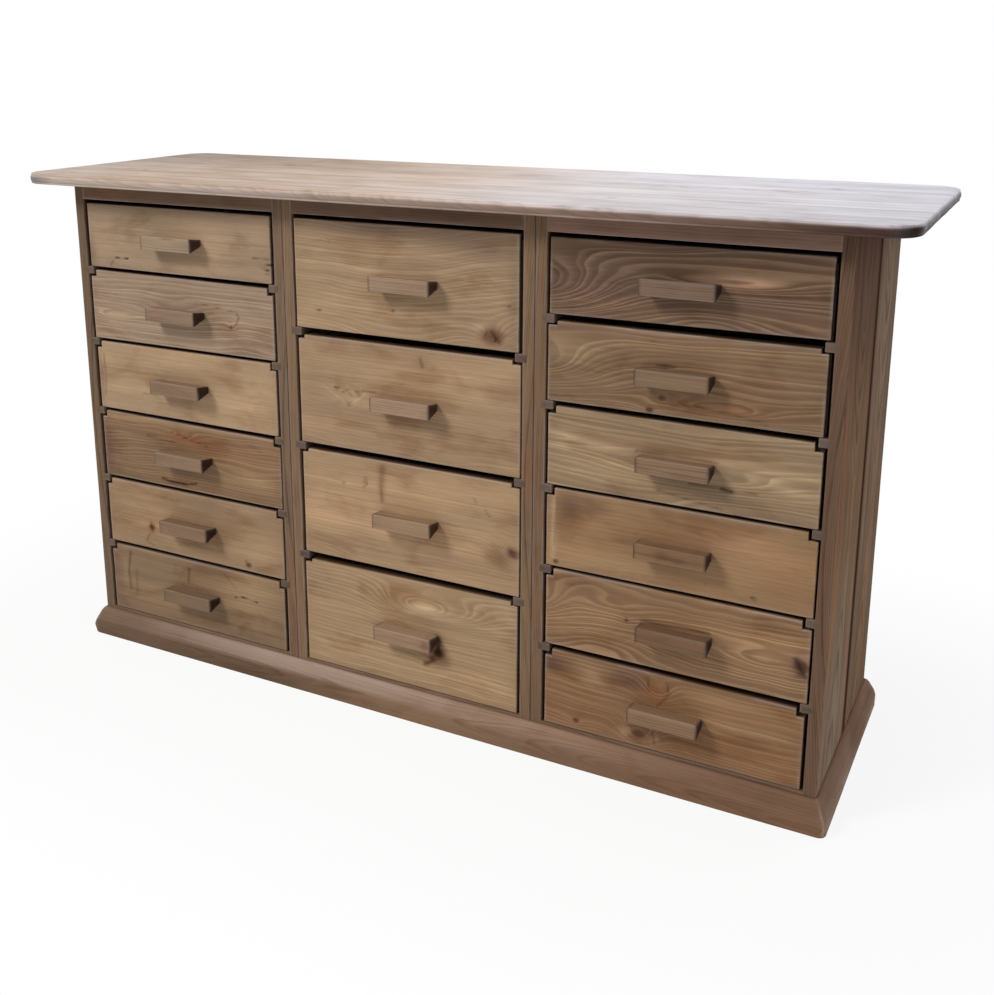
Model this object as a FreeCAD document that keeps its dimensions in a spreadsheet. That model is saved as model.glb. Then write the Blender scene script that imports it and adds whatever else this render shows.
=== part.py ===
"""Seed storage cabinet: a pine counter with sixteen drawers in three columns.

The cabinet stands on the floor at Z = 0 with its front towards -Y. The origin is the middle of its footprint.
Boards are butted, housed or mitred as a joiner would do it: a housing, a groove or a screw hole is always cut
with the very piece that sits in it, so the two can't drift apart when a size changes.
"""
import FreeCAD, Part
import os
import Sketcher

MM = "Sizes."

# Every size that can be chosen by itself, in millimetres: alias, value, what it is.
SIZES = [
    ("upright_thickness", 20, "thickness of the sides and of each half of a divider"),
    ("bay_opening", 427, "clear width between the uprights of one drawer column"),
    ("carcass_height", 900, "floor to the underside of the top board"),
    ("carcass_depth", 400, "front edge to rear edge of the outer sides"),
    ("front_plank_width", 205, "width of the front one of the two planks in each upright"),
    ("plank_gap", 4, "open joint between the two planks of an upright"),
    ("top_thickness", 20, "thickness of the top board"),
    ("top_side_overhang", 85, "top board beyond the carcass, left and right"),
    ("top_front_overhang", 55, "top board beyond the carcass, front and back"),
    ("top_corner_radius", 50, "plan radius of the top board's corners"),
    ("top_edge_radius", 8, "rounding of the top board's rim, above and below"),
    ("rail_height", 29, "height of the top rails"),
    ("rail_thickness", 20, "thickness of the top rails"),
    ("tenon_shoulder", 5, "step from a rail's faces in to its stub tenons"),
    ("housing_depth", 8, "how far rails, runners and bottom boards enter the uprights"),
    ("runner_projection", 13, "how far a runner stands out from its upright"),
    ("runner_height", 14, "height of a runner"),
    ("bottom_board_top", 57, "height of the surface that the lowest drawers slide on"),
    ("bottom_board_thickness", 18, "thickness of the bottom boards"),
    ("back_thickness", 12, "thickness of the back boards"),
    ("back_board_gap", 1, "shrinkage gap between two back boards"),
    ("bottom_drawer_extra", 6, "how much taller the lowest drawers are than the middle ones"),
    ("top_drawer_loss", 12, "how much lower the highest drawers are than the middle ones"),
    ("drawer_lift", 0.3, "running clearance under a drawer"),
    ("drawer_side_gap", 4.5, "gap between a drawer and the uprights"),
    ("drawer_setback", 1, "drawer front behind the front edges of the uprights"),
    ("drawer_rear_gap", 2, "gap between a closed drawer and the back boards"),
    ("tight_reveal", 6.5, "gap over a close-fitting drawer front"),
    ("loose_reveal", 12.5, "gap over a front that has shrunk most"),
    ("front_thickness", 20, "thickness of a drawer front"),
    ("front_lap", 8, "drawer front left in front of the side that is let into it"),
    ("notch_gap", 5, "clearance round a runner in the notch of a drawer front"),
    ("kick_gap", 3, "clearance between a drawer side and the runner over it"),
    ("side_thickness", 12, "thickness of drawer sides and drawer backs"),
    ("drawer_back_drop", 8, "drawer back below the top of the drawer sides"),
    ("panel_thickness", 6, "thickness of a drawer's bottom panel"),
    ("panel_height", 8, "underside of the bottom panel above the drawer's lower edge"),
    ("groove_depth", 6, "how far the bottom panel enters the sides and the front"),
    ("pull_length", 113, "length of a pull"),
    ("pull_height", 26, "height of a pull's front lip"),
    ("pull_back_height", 12, "height of a pull where it meets the drawer front"),
    ("pull_top_fall", 5, "how far a pull's top falls from the lip to the drawer front"),
    ("pull_projection", 30, "how far a pull stands out"),
    ("pull_edge_radius", 1.5, "softened long edges of a pull's lip"),
    ("screw_radius", 2, "shank radius of the wood screws"),
    ("screw_head_radius", 4, "head radius of the wood screws"),
    ("screw_head_height", 2.5, "height of a countersunk head"),
    ("pull_screw_spacing", 64, "distance between the two screws of a pull"),
    ("pull_screw_bite", 16, "how far a screw enters a pull"),
    ("top_screw_inset", 100, "top screws in from the ends of their rail"),
    ("top_screw_bite", 12, "how far a screw enters the top board"),
    ("plinth_height", 52, "height of the plinth"),
    ("plinth_projection", 20, "how far the plinth stands out from the carcass"),
    ("plinth_bevel_width", 16, "bevel on the plinth's upper edge, across"),
    ("plinth_bevel_height", 33, "bevel on the plinth's upper edge, down"),
]

# The three columns from left to right: name, how many drawers, and which fronts have the loose reveal
# over them, counted from the top.
COLUMNS = [
    ("left", 6, ()),
    ("centre", 4, (2, 3, 4)),
    ("right", 6, (2,)),
]
# The pulls were fixed by eye: how far right of the middle of its front each one sits, from the top down.
PULL_SHIFTS = {
    "left": (0, 0, 0, 0, 0, 0),
    "centre": (8, 6, 6, 4),
    "right": (-3, -6, 0, 2, 9, 0),
}
BACK_BOARD_COUNT = 9
MIRROR = {"left": -1, "right": 1}
QUARTER_TURN = 90
MITRE_START_TURN = -225
MITRE_END_TURN = -45

doc = FreeCAD.newDocument("SeedCabinet")


def make_sheet():
    """The spreadsheet that every piece takes its sizes from."""
    sheet = doc.addObject("Spreadsheet::Sheet", "Sizes")
    shifts = [(f"pull_shift_{column}_{number}", shift, "pull right of the middle of its front")
              for column, shifts_down in PULL_SHIFTS.items()
              for number, shift in enumerate(shifts_down, start=1)]
    for row, (alias, value, meaning) in enumerate(SIZES + shifts, start=1):
        sheet.set(f"A{row}", alias)
        sheet.set(f"B{row}", str(value))
        sheet.set(f"C{row}", meaning)
        sheet.setAlias(f"B{row}", alias)
    doc.recompute()


# ---------------------------------------------------------------------------------------------------------
# Lengths that are worked out from the sheet, as expression text
# ---------------------------------------------------------------------------------------------------------

FRONT_Y = f"(-{MM}carcass_depth / 2)"
REAR_Y = f"({MM}carcass_depth / 2)"
INNER_REAR_Y = f"({REAR_Y} - {MM}back_thickness)"
UNIT_WIDTH = f"({MM}bay_opening + 2 * {MM}upright_thickness)"
CARCASS_WIDTH = f"({len(COLUMNS)} * {UNIT_WIDTH})"
RAIL_BOTTOM = f"({MM}carcass_height - {MM}rail_height)"
DRAWER_WIDTH = f"({MM}bay_opening - 2 * {MM}drawer_side_gap)"
DRAWER_FRONT_Y = f"({FRONT_Y} + {MM}drawer_setback)"
FRONT_BACK_Y = f"({DRAWER_FRONT_Y} + {MM}front_thickness)"
DRAWER_REAR_Y = f"({INNER_REAR_Y} - {MM}drawer_rear_gap)"
NOTCH_WIDTH = f"({MM}runner_projection - {MM}drawer_side_gap + {MM}notch_gap)"


def column_x(index):
    """Middle of a drawer column."""
    return f"({index - (len(COLUMNS) - 1) / 2} * {UNIT_WIDTH})"


def pitch(count):
    """Height that one middle drawer takes up in a column of COUNT drawers."""
    stack = f"{RAIL_BOTTOM} - {MM}bottom_board_top - {MM}bottom_drawer_extra + {MM}top_drawer_loss"
    return f"(({stack}) / {count})"


def seat(count, number):
    """Surface that drawer NUMBER slides on; number 1 is the highest drawer, COUNT the lowest."""
    steps = count - number
    if steps == 0:
        return f"{MM}bottom_board_top"
    return f"({MM}bottom_board_top + {MM}bottom_drawer_extra + {steps} * {pitch(count)})"


def ceiling(count, number):
    """Height that drawer NUMBER reaches up to: the seat of the drawer over it, or the rail."""
    if number == 1:
        return RAIL_BOTTOM
    return seat(count, number - 1)


# ---------------------------------------------------------------------------------------------------------
# Small makers
# ---------------------------------------------------------------------------------------------------------

def bind(thing, **expressions):
    """Bind properties to expressions; x, y and z stand for the placement's base."""
    for name, expression in expressions.items():
        path = f".Placement.Base.{name}" if name in "xyz" else name
        thing.setExpression(path, str(expression))
    return thing


def board(name, length, width, height, x, y, z):
    """A plain sawn board: a box with its lowest corner at x, y, z."""
    box = doc.addObject("Part::Box", name)
    return bind(box, Length=length, Width=width, Height=height, x=x, y=y, z=z)


def group(name, pieces):
    """Several separate solids that are handed on together."""
    compound = doc.addObject("Part::Compound", name)
    compound.Links = pieces
    return compound


def cut(name, base, tool):
    """BASE with room made in it for TOOL."""
    piece = doc.addObject("Part::Cut", name)
    piece.Base = base
    piece.Tool = tool
    return piece


def outline(body, role, points):
    """A closed sketch on one of the body's origin planes, with every corner tied to two expressions."""
    plane = [item for item in body.Origin.OriginFeatures if item.Role == role][0]
    sketch = body.newObject("Sketcher::SketchObject", "Outline")
    sketch.AttachmentSupport = [(plane, "")]
    sketch.MapMode = "FlatFace"
    total = len(points)
    start = [FreeCAD.Vector(index, index * index, 0) for index in range(total)]
    for index in range(total):
        sketch.addGeometry(Part.LineSegment(start[index], start[(index + 1) % total]), False)
    for index in range(total):
        sketch.addConstraint(Sketcher.Constraint("Coincident", index, 2, (index + 1) % total, 1))
    for index, corner in enumerate(points):
        for kind, axis, expression in (("DistanceX", -2, corner[0]), ("DistanceY", -1, corner[1])):
            if expression == "0":
                sketch.addConstraint(Sketcher.Constraint("PointOnObject", index, 1, axis))
                continue
            number = sketch.addConstraint(Sketcher.Constraint(kind, -1, 1, index, 1, index + 1.0))
            name = f"corner_{index}_{kind[-1].lower()}"
            sketch.renameConstraint(number, name)
            sketch.setExpression(f"Constraints.{name}", expression)
    return sketch


def pad(body, sketch, length, midplane=False, reverse=False):
    """Pad a sketch by an expression, to one side or evenly to both."""
    feature = body.newObject("PartDesign::Pad", "Pad")
    feature.Profile = sketch
    feature.SideType = "Symmetric" if midplane else "One side"
    feature.Reversed = reverse
    feature.setExpression("Length", length)
    doc.recompute()
    return feature


def round_edges(body, base, wanted, radius):
    """Round those edges of BASE for which WANTED says yes."""
    names = [f"Edge{number}" for number, edge in enumerate(base.Shape.Edges, start=1) if wanted(edge)]
    fillet = body.newObject("PartDesign::Fillet", "Round")
    fillet.Base = (base, names)
    fillet.setExpression("Radius", radius)
    doc.recompute()
    return fillet


def runs_along(edge, axis):
    """Whether an edge is straight and parallel to an axis."""
    if edge.Curve.TypeId != "Part::GeomLine":
        return False
    return abs(abs(edge.tangentAt(edge.FirstParameter).dot(axis)) - 1) < 1e-6


def wood_screw(name, x, y, z, length, turn):
    """A countersunk screw: cone head, then a plain shank, along the placement's own Z axis."""
    shank = doc.addObject("Part::Cylinder", name + "_shank")
    head = doc.addObject("Part::Cone", name + "_head")
    for piece in (shank, head):
        piece.Placement = FreeCAD.Placement(FreeCAD.Vector(), turn)
        bind(piece, x=x, y=y, z=z)
    bind(shank, Radius=f"{MM}screw_radius", Height=length)
    bind(head, Radius1=f"{MM}screw_head_radius", Radius2=f"{MM}screw_radius", Height=f"{MM}screw_head_height")
    screw = doc.addObject("Part::Fuse", name)
    screw.Base = shank
    screw.Tool = head
    return screw


UPWARDS = FreeCAD.Rotation()
FORWARDS = FreeCAD.Rotation(FreeCAD.Vector(1, 0, 0), QUARTER_TURN)
nodes = []


def node(piece, label):
    """Mark a finished piece as a sub-part of the cabinet under the name LABEL."""
    piece.Label = label
    nodes.append(piece)
    return piece


# ---------------------------------------------------------------------------------------------------------
# Carcass
# ---------------------------------------------------------------------------------------------------------

def make_runners():
    """Battens under every drawer but the lowest of each column, let into the uprights on both sides."""
    runners = []
    width = f"({MM}runner_projection + {MM}housing_depth)"
    for column, (name, count, _) in enumerate(COLUMNS):
        for number in range(1, count):
            for side, sign in MIRROR.items():
                near = f"{column_x(column)} + {sign} * {MM}bay_opening / 2"
                low_x = {"left": f"{near} - {MM}housing_depth", "right": f"{near} - {MM}runner_projection"}
                runners.append(board(f"Runner_{name}_{number}_{side}", width, f"{INNER_REAR_Y} - {FRONT_Y}",
                                     f"{MM}runner_height", low_x[side], FRONT_Y,
                                     f"{seat(count, number)} - {MM}runner_height"))
    return node(group("Runners", runners), "runners")


def make_bottom_boards():
    """One board in each bay, housed in the uprights."""
    boards = []
    width = f"{MM}bay_opening + 2 * {MM}housing_depth"
    for column, (name, _, _) in enumerate(COLUMNS):
        boards.append(board(f"Bottom_{name}", width, f"{INNER_REAR_Y} - {FRONT_Y}",
                            f"{MM}bottom_board_thickness", f"{column_x(column)} - ({width}) / 2", FRONT_Y,
                            f"{MM}bottom_board_top - {MM}bottom_board_thickness"))
    return node(group("BottomBoards", boards), "bottom_boards")


def make_rails_and_screws():
    """Front and back top rails with stub tenons, and the screws that hold the top board down on them."""
    rails = []
    screws = []
    tenon_thickness = f"{MM}rail_thickness - 2 * {MM}tenon_shoulder"
    tenon_height = f"{MM}rail_height - 2 * {MM}tenon_shoulder"
    places = {"front": FRONT_Y, "back": f"({INNER_REAR_Y} - {MM}rail_thickness)"}
    for column, (name, _, _) in enumerate(COLUMNS):
        for place, y in places.items():
            title = f"Rail_{name}_{place}"
            middle = board(title + "_middle", f"{MM}bay_opening", f"{MM}rail_thickness", f"{MM}rail_height",
                           f"{column_x(column)} - {MM}bay_opening / 2", y, RAIL_BOTTOM)
            tongue = board(title + "_tenons", f"{MM}bay_opening + 2 * {MM}housing_depth", tenon_thickness,
                           tenon_height, f"{column_x(column)} - {MM}bay_opening / 2 - {MM}housing_depth",
                           f"{y} + {MM}tenon_shoulder", f"{RAIL_BOTTOM} + {MM}tenon_shoulder")
            rail = doc.addObject("Part::Fuse", title)
            rail.Base = middle
            rail.Tool = tongue
            rails.append(rail)
            for side, sign in MIRROR.items():
                x = f"{column_x(column)} + {sign} * ({MM}bay_opening / 2 - {MM}top_screw_inset)"
                screws.append(wood_screw(f"TopScrew_{name}_{place}_{side}", x, f"{y} + {MM}rail_thickness / 2",
                                         RAIL_BOTTOM, f"{MM}rail_height + {MM}top_screw_bite", UPWARDS))
    top_screws = node(group("TopScrews", screws), "top_screws")
    solid_rails = group("RailBlanks", rails)
    node(cut("TopRails", solid_rails, top_screws), "top_rails")
    return solid_rails, top_screws


def upright(name, low_x, rear_y):
    """One upright: a front plank and a rear plank with an open joint between them."""
    rear_start = f"({FRONT_Y} + {MM}front_plank_width + {MM}plank_gap)"
    front = board(name + "_front_plank", f"{MM}upright_thickness", f"{MM}front_plank_width",
                  f"{MM}carcass_height", low_x, FRONT_Y, 0)
    rear = board(name + "_rear_plank", f"{MM}upright_thickness", f"{rear_y} - {rear_start}",
                 f"{MM}carcass_height", low_x, rear_start, 0)
    return [front, rear]


def make_uprights(housed):
    """The outer sides, and the dividers of two uprights back to back, cut for what is housed in them."""
    half = f"{CARCASS_WIDTH} / 2"
    thick = f"{MM}upright_thickness"
    left_seam = f"(-{UNIT_WIDTH} / 2)"
    right_seam = f"({UNIT_WIDTH} / 2)"
    planks = {
        "left_side": upright("LeftSide", f"-({half})", REAR_Y),
        "right_side": upright("RightSide", f"{half} - {thick}", REAR_Y),
        "left_divider": upright("LeftDividerOuter", f"{left_seam} - {thick}", INNER_REAR_Y)
        + upright("LeftDividerInner", left_seam, INNER_REAR_Y),
        "right_divider": upright("RightDividerInner", f"{right_seam} - {thick}", INNER_REAR_Y)
        + upright("RightDividerOuter", right_seam, INNER_REAR_Y),
    }
    for label, pieces in planks.items():
        title = label.title().replace("_", "")
        node(cut(title, group(title + "_planks", pieces), housed), label)


def make_back():
    """Upright back boards side by side between the outer sides, on the dividers' rear edges."""
    span = f"({CARCASS_WIDTH} - 2 * {MM}upright_thickness)"
    width = f"(({span} - {BACK_BOARD_COUNT - 1} * {MM}back_board_gap) / {BACK_BOARD_COUNT})"
    low_z = f"({MM}bottom_board_top - {MM}bottom_board_thickness)"
    boards = []
    for index in range(BACK_BOARD_COUNT):
        x = f"-{span} / 2 + {index} * ({width} + {MM}back_board_gap)"
        boards.append(board(f"BackBoard_{index + 1}", width, f"{MM}back_thickness",
                            f"{MM}carcass_height - {low_z}", x, INNER_REAR_Y, low_z))
    node(group("BackBoards", boards), "back_boards")


def make_top(top_screws):
    """The top board: a rectangle with rounded corners and a rounded rim, bored for its screws."""
    body = doc.addObject("PartDesign::Body", "TopBoardBody")
    bind(body, z=f"{MM}carcass_height")
    half_x = f"{CARCASS_WIDTH} / 2 + {MM}top_side_overhang"
    half_y = f"{MM}carcass_depth / 2 + {MM}top_front_overhang"
    corners = [(f"-({half_x})", f"-({half_y})"), (half_x, f"-({half_y})"), (half_x, half_y),
               (f"-({half_x})", half_y)]
    blank = pad(body, outline(body, "XY_Plane", corners), f"{MM}top_thickness")
    upright_edge = FreeCAD.Vector(0, 0, 1)
    shaped = round_edges(body, blank, lambda edge: runs_along(edge, upright_edge), f"{MM}top_corner_radius")
    round_edges(body, shaped, lambda edge: not runs_along(edge, upright_edge), f"{MM}top_edge_radius")
    node(cut("TopBoard", body, top_screws), "top_board")


def plinth_board(name, length, x, y, turn):
    """One length of plinth moulding, its back against the carcass, with square ends."""
    body = doc.addObject("PartDesign::Body", name)
    body.Placement = FreeCAD.Placement(FreeCAD.Vector(), FreeCAD.Rotation(FreeCAD.Vector(0, 0, 1), turn))
    bind(body, x=x, y=y)
    out = f"-{MM}plinth_projection"
    section = [("0", "0"), (out, "0"), (out, f"{MM}plinth_height - {MM}plinth_bevel_height"),
               (f"{out} + {MM}plinth_bevel_width", f"{MM}plinth_height"), ("0", f"{MM}plinth_height")]
    pad(body, outline(body, "YZ_Plane", section), f"{length} + 2 * {MM}plinth_projection", midplane=True)
    return body


def mitre_block(name, x, y, turn):
    """A waste block with one corner on a corner of the carcass: what a mitre saw takes away."""
    reach = f"2 * {MM}plinth_projection"
    block = doc.addObject("Part::Box", name)
    block.Placement = FreeCAD.Placement(FreeCAD.Vector(), FreeCAD.Rotation(FreeCAD.Vector(0, 0, 1), turn))
    return bind(block, Length=reach, Width=reach, Height=f"{MM}plinth_height", x=x, y=y)


def make_plinth():
    """Four mitred lengths of plinth, in order round the carcass: front, right, back, left."""
    half_x = f"({CARCASS_WIDTH} / 2)"
    half_y = f"({MM}carcass_depth / 2)"
    runs = [("front", CARCASS_WIDTH, "0", f"-{half_y}"), ("right", f"{MM}carcass_depth", half_x, "0"),
            ("back", CARCASS_WIDTH, "0", half_y), ("left", f"{MM}carcass_depth", f"-{half_x}", "0")]
    signs = [(-1, -1), (1, -1), (1, 1), (-1, 1)]
    mitred = {}
    for index, (side, length, x, y) in enumerate(runs):
        turn = QUARTER_TURN * index
        blank = plinth_board(f"Plinth_{side}_blank", length, x, y, turn)
        start_x, start_y = signs[index]
        end_x, end_y = signs[(index + 1) % len(signs)]
        waste = [mitre_block(f"Mitre_{side}_start", f"{start_x} * {half_x}", f"{start_y} * {half_y}",
                             turn + MITRE_START_TURN),
                 mitre_block(f"Mitre_{side}_end", f"{end_x} * {half_x}", f"{end_y} * {half_y}",
                             turn + MITRE_END_TURN)]
        mitred[side] = cut(f"Plinth_{side}", blank, group(f"Mitres_{side}", waste))
    node(mitred["front"], "plinth_front")
    node(group("PlinthReturns", [mitred["right"], mitred["back"], mitred["left"]]), "plinth_returns")


# ---------------------------------------------------------------------------------------------------------
# Drawers
# ---------------------------------------------------------------------------------------------------------

def make_drawer(column, number):
    """One drawer: a front, a box of two sides, back and bottom panel, and a pull with its two screws."""
    name, count, loose = COLUMNS[column]
    title = f"Drawer_{name}_{number}_"
    label = f"drawer_{name}_{number}"
    x = column_x(column)
    low = f"({seat(count, number)} + {MM}drawer_lift)"
    high = ceiling(count, number)
    reveal = f"{MM}loose_reveal" if number in loose else f"{MM}tight_reveal"
    front_height = f"({high} - {low} - {reveal})"
    side_height = f"({high} - {low} - {MM}runner_height - {MM}kick_gap)"

    # box
    side_y = f"({DRAWER_FRONT_Y} + {MM}front_lap)"
    panel_width = f"({DRAWER_WIDTH} - 2 * {MM}side_thickness + 2 * {MM}groove_depth)"
    panel_y = f"({FRONT_BACK_Y} - {MM}groove_depth)"
    panel_z = f"({low} + {MM}panel_height)"
    panel = board(title + "panel", panel_width, f"{DRAWER_REAR_Y} - {panel_y}", f"{MM}panel_thickness",
                  f"{x} - {panel_width} / 2", panel_y, panel_z)
    back_z = f"({panel_z} + {MM}panel_thickness)"
    inner_width = f"({DRAWER_WIDTH} - 2 * {MM}side_thickness)"
    back = board(title + "back", inner_width, f"{MM}side_thickness",
                 f"{low} + {side_height} - {MM}drawer_back_drop - {back_z}", f"{x} - {inner_width} / 2",
                 f"{DRAWER_REAR_Y} - {MM}side_thickness", back_z)
    sides = []
    side_x = {"left": f"{x} - {DRAWER_WIDTH} / 2", "right": f"{x} + {inner_width} / 2"}
    for side, low_x in side_x.items():
        blank = board(f"{title}{side}_blank", f"{MM}side_thickness", f"{DRAWER_REAR_Y} - {side_y}",
                      side_height, low_x, side_y, low)
        sides.append(cut(f"{title}{side}_side", blank, panel))
    node(group(title + "box", sides + [back, panel]), label + "_box")

    # screws of the pull, from inside the drawer
    pull_x = f"({x} + {MM}pull_shift_{name}_{number})"
    pull_top = f"({low} + ({front_height} + {MM}pull_height) / 2)"
    screw_z = f"{pull_top} - {MM}pull_top_fall - {MM}pull_back_height / 2"
    screws = []
    for side, sign in MIRROR.items():
        screws.append(wood_screw(f"{title}{side}_screw", f"{pull_x} + {sign} * {MM}pull_screw_spacing / 2",
                                 FRONT_BACK_Y, screw_z, f"{MM}front_thickness + {MM}pull_screw_bite", FORWARDS))
    pair = group(title + "screws", screws)

    # front, notched round the runners over it
    body = doc.addObject("PartDesign::Body", title + "front_body")
    bind(body, x=f"{x} - {DRAWER_WIDTH} / 2", y=DRAWER_FRONT_Y, z=low)
    edge = [("0", "0"), (DRAWER_WIDTH, "0")]
    if number == 1:
        edge += [(DRAWER_WIDTH, front_height), ("0", front_height)]
    else:
        notch_z = f"({high} - {low} - {MM}runner_height - {MM}notch_gap)"
        notch_right = f"{DRAWER_WIDTH} - {NOTCH_WIDTH}"
        edge += [(DRAWER_WIDTH, notch_z), (notch_right, notch_z), (notch_right, front_height),
                 (NOTCH_WIDTH, front_height), (NOTCH_WIDTH, notch_z), ("0", notch_z)]
    pad(body, outline(body, "XZ_Plane", edge), f"{MM}front_thickness", reverse=True)
    node(cut(title + "front", body, group(title + "let_in", sides + [panel, pair])), label + "_front")

    # pull, a wedge with a gently falling top and a lip to grip behind
    body = doc.addObject("PartDesign::Body", title + "pull_body")
    bind(body, x=pull_x, y=DRAWER_FRONT_Y, z=pull_top)
    out = f"-{MM}pull_projection"
    wedge = [("0", f"-{MM}pull_top_fall"), ("0", f"-{MM}pull_top_fall - {MM}pull_back_height"),
             (out, f"-{MM}pull_height"), (out, "0")]
    blank = pad(body, outline(body, "YZ_Plane", wedge), f"{MM}pull_length", midplane=True)
    along = FreeCAD.Vector(1, 0, 0)
    lip_y = -blank.Shape.BoundBox.YLength / 2
    round_edges(body, blank, lambda edge: runs_along(edge, along) and edge.CenterOfMass.y < lip_y,
                f"{MM}pull_edge_radius")
    handle = cut(title + "handle", body, pair)
    node(group(title + "pull", [handle, pair]), label + "_pull")


# ---------------------------------------------------------------------------------------------------------
# Assembly, checks and export
# ---------------------------------------------------------------------------------------------------------

def check(things):
    """Stop if any object failed to compute or any sub-part isn't a sound solid shape."""
    for thing in doc.Objects:
        if "Invalid" in thing.State or "Error" in thing.State:
            raise RuntimeError(f"{thing.Name} ({thing.Label}) failed: {thing.State}")
    for thing in things:
        if thing.Shape.isNull() or not thing.Shape.isValid() or not thing.Shape.Solids:
            raise RuntimeError(f"{thing.Label} has no sound shape")


def main():
    make_sheet()
    runners = make_runners()
    bottoms = make_bottom_boards()
    rails, top_screws = make_rails_and_screws()
    make_uprights(group("Housed", [runners, bottoms, rails]))
    make_back()
    make_top(top_screws)
    make_plinth()
    for column, (_, count, _) in enumerate(COLUMNS):
        for number in range(1, count + 1):
            make_drawer(column, number)
    doc.recompute()
    check(nodes)
    os.makedirs("parts", exist_ok=True)
    for piece in nodes:
        piece.Shape.exportStep(f"parts/{piece.Label}.step")
        print(piece.Label, len(piece.Shape.Solids), "solids", round(piece.Shape.Volume), "mm3")


main()
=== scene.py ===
"""Seed storage cabinet: the looks of its boards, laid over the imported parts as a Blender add-on."""

import math

import bpy
import numpy as np
from bpy.props import FloatProperty, FloatVectorProperty, PointerProperty
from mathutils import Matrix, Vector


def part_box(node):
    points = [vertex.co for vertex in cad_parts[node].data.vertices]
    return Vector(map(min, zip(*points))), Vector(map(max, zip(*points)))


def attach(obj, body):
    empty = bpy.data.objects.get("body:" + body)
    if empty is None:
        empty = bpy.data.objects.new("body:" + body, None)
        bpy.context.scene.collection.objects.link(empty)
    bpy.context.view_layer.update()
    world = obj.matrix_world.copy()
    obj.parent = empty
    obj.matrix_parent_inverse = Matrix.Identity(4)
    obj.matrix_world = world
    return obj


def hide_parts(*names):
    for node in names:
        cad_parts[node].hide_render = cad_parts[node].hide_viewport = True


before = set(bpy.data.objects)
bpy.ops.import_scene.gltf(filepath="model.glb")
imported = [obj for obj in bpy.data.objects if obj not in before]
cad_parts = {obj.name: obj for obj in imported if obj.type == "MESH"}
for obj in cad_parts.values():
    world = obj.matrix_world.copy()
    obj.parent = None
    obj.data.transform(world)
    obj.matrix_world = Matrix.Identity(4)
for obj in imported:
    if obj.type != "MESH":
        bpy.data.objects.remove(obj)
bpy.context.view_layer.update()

bl_info = {
    "name": "Seed Storage Cabinet",
    "version": (1, 0, 0),
    "blender": (4, 5, 0),
    "location": "View3D > Sidebar > Cabinet",
    "description": "Builds the boards, drawer fronts and pulls of a seed storage cabinet and their stage",
    "category": "Object",
}

MM = 0.001
BODY = "carcass"  # the body that all fixed pieces ride on
COLUMNS = {"left": 6, "centre": 4, "right": 6}  # number of drawers
UPRIGHTS = {"left_side": ("left",), "right_side": ("right",), "left_divider": ("left", "centre"),
            "right_divider": ("centre", "right")}  # the columns beside each
PLANK_JOINT = np.array((5, 9)) * MM  # where the front plank of an upright ends and the rear one begins
THICK = 20 * MM  # the boards of the fronts, the rails and the plinth
LIFT = 0.3 * MM  # a drawer's clearance over its runners
RUNNER_END = (13 * MM, 14 * MM)  # how far a runner stands out of its upright, and its height
HOUSED = 8 * MM  # how far a runner is let into its upright
# Which axes lie along a board's grain, across its face and through it.
GRAIN_ALONG = {"x": (0, 2, 1), "y": (1, 0, 2), "z": (2, 1, 0), "flat": (0, 1, 2)}


# Settings -----------------------------------------------------

def length(name, description, default):
    return FloatProperty(name=name, description=description, default=default * MM, unit="LENGTH", precision=4)


def colour(name, description, default):
    return FloatVectorProperty(name=name, description=description, default=default, subtype="COLOR",
                               size=3, min=0, max=1)


class CABINET_Sizes(bpy.types.PropertyGroup):
    """Sizes that only the looks need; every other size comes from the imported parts."""
    mesh_step: length("Mesh step", "Spacing of the surface points on a drawer front", 3.2)
    upright_step: length("Upright step", "Spacing of the surface points on an upright", 6)
    arris: length("Arris", "Rounding of the boards' edges", 1.1)
    front_arris: length("Front arris", "Rounding of the drawer fronts' edges", 1.5)
    pull_arris: length("Pull arris", "Rounding of the pulls' edges", 1.8)
    top_edge: length("Top edge", "Rounding of the top board's rim", 8)
    top_corner: length("Top corner", "Rounding of the top board's corners seen from above", 50)
    wander: length("Wander", "How far the edges stray from straight", 0.5)
    top_wander: length("Top wander", "How far the top board's rim strays from straight", 1.2)


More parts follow.
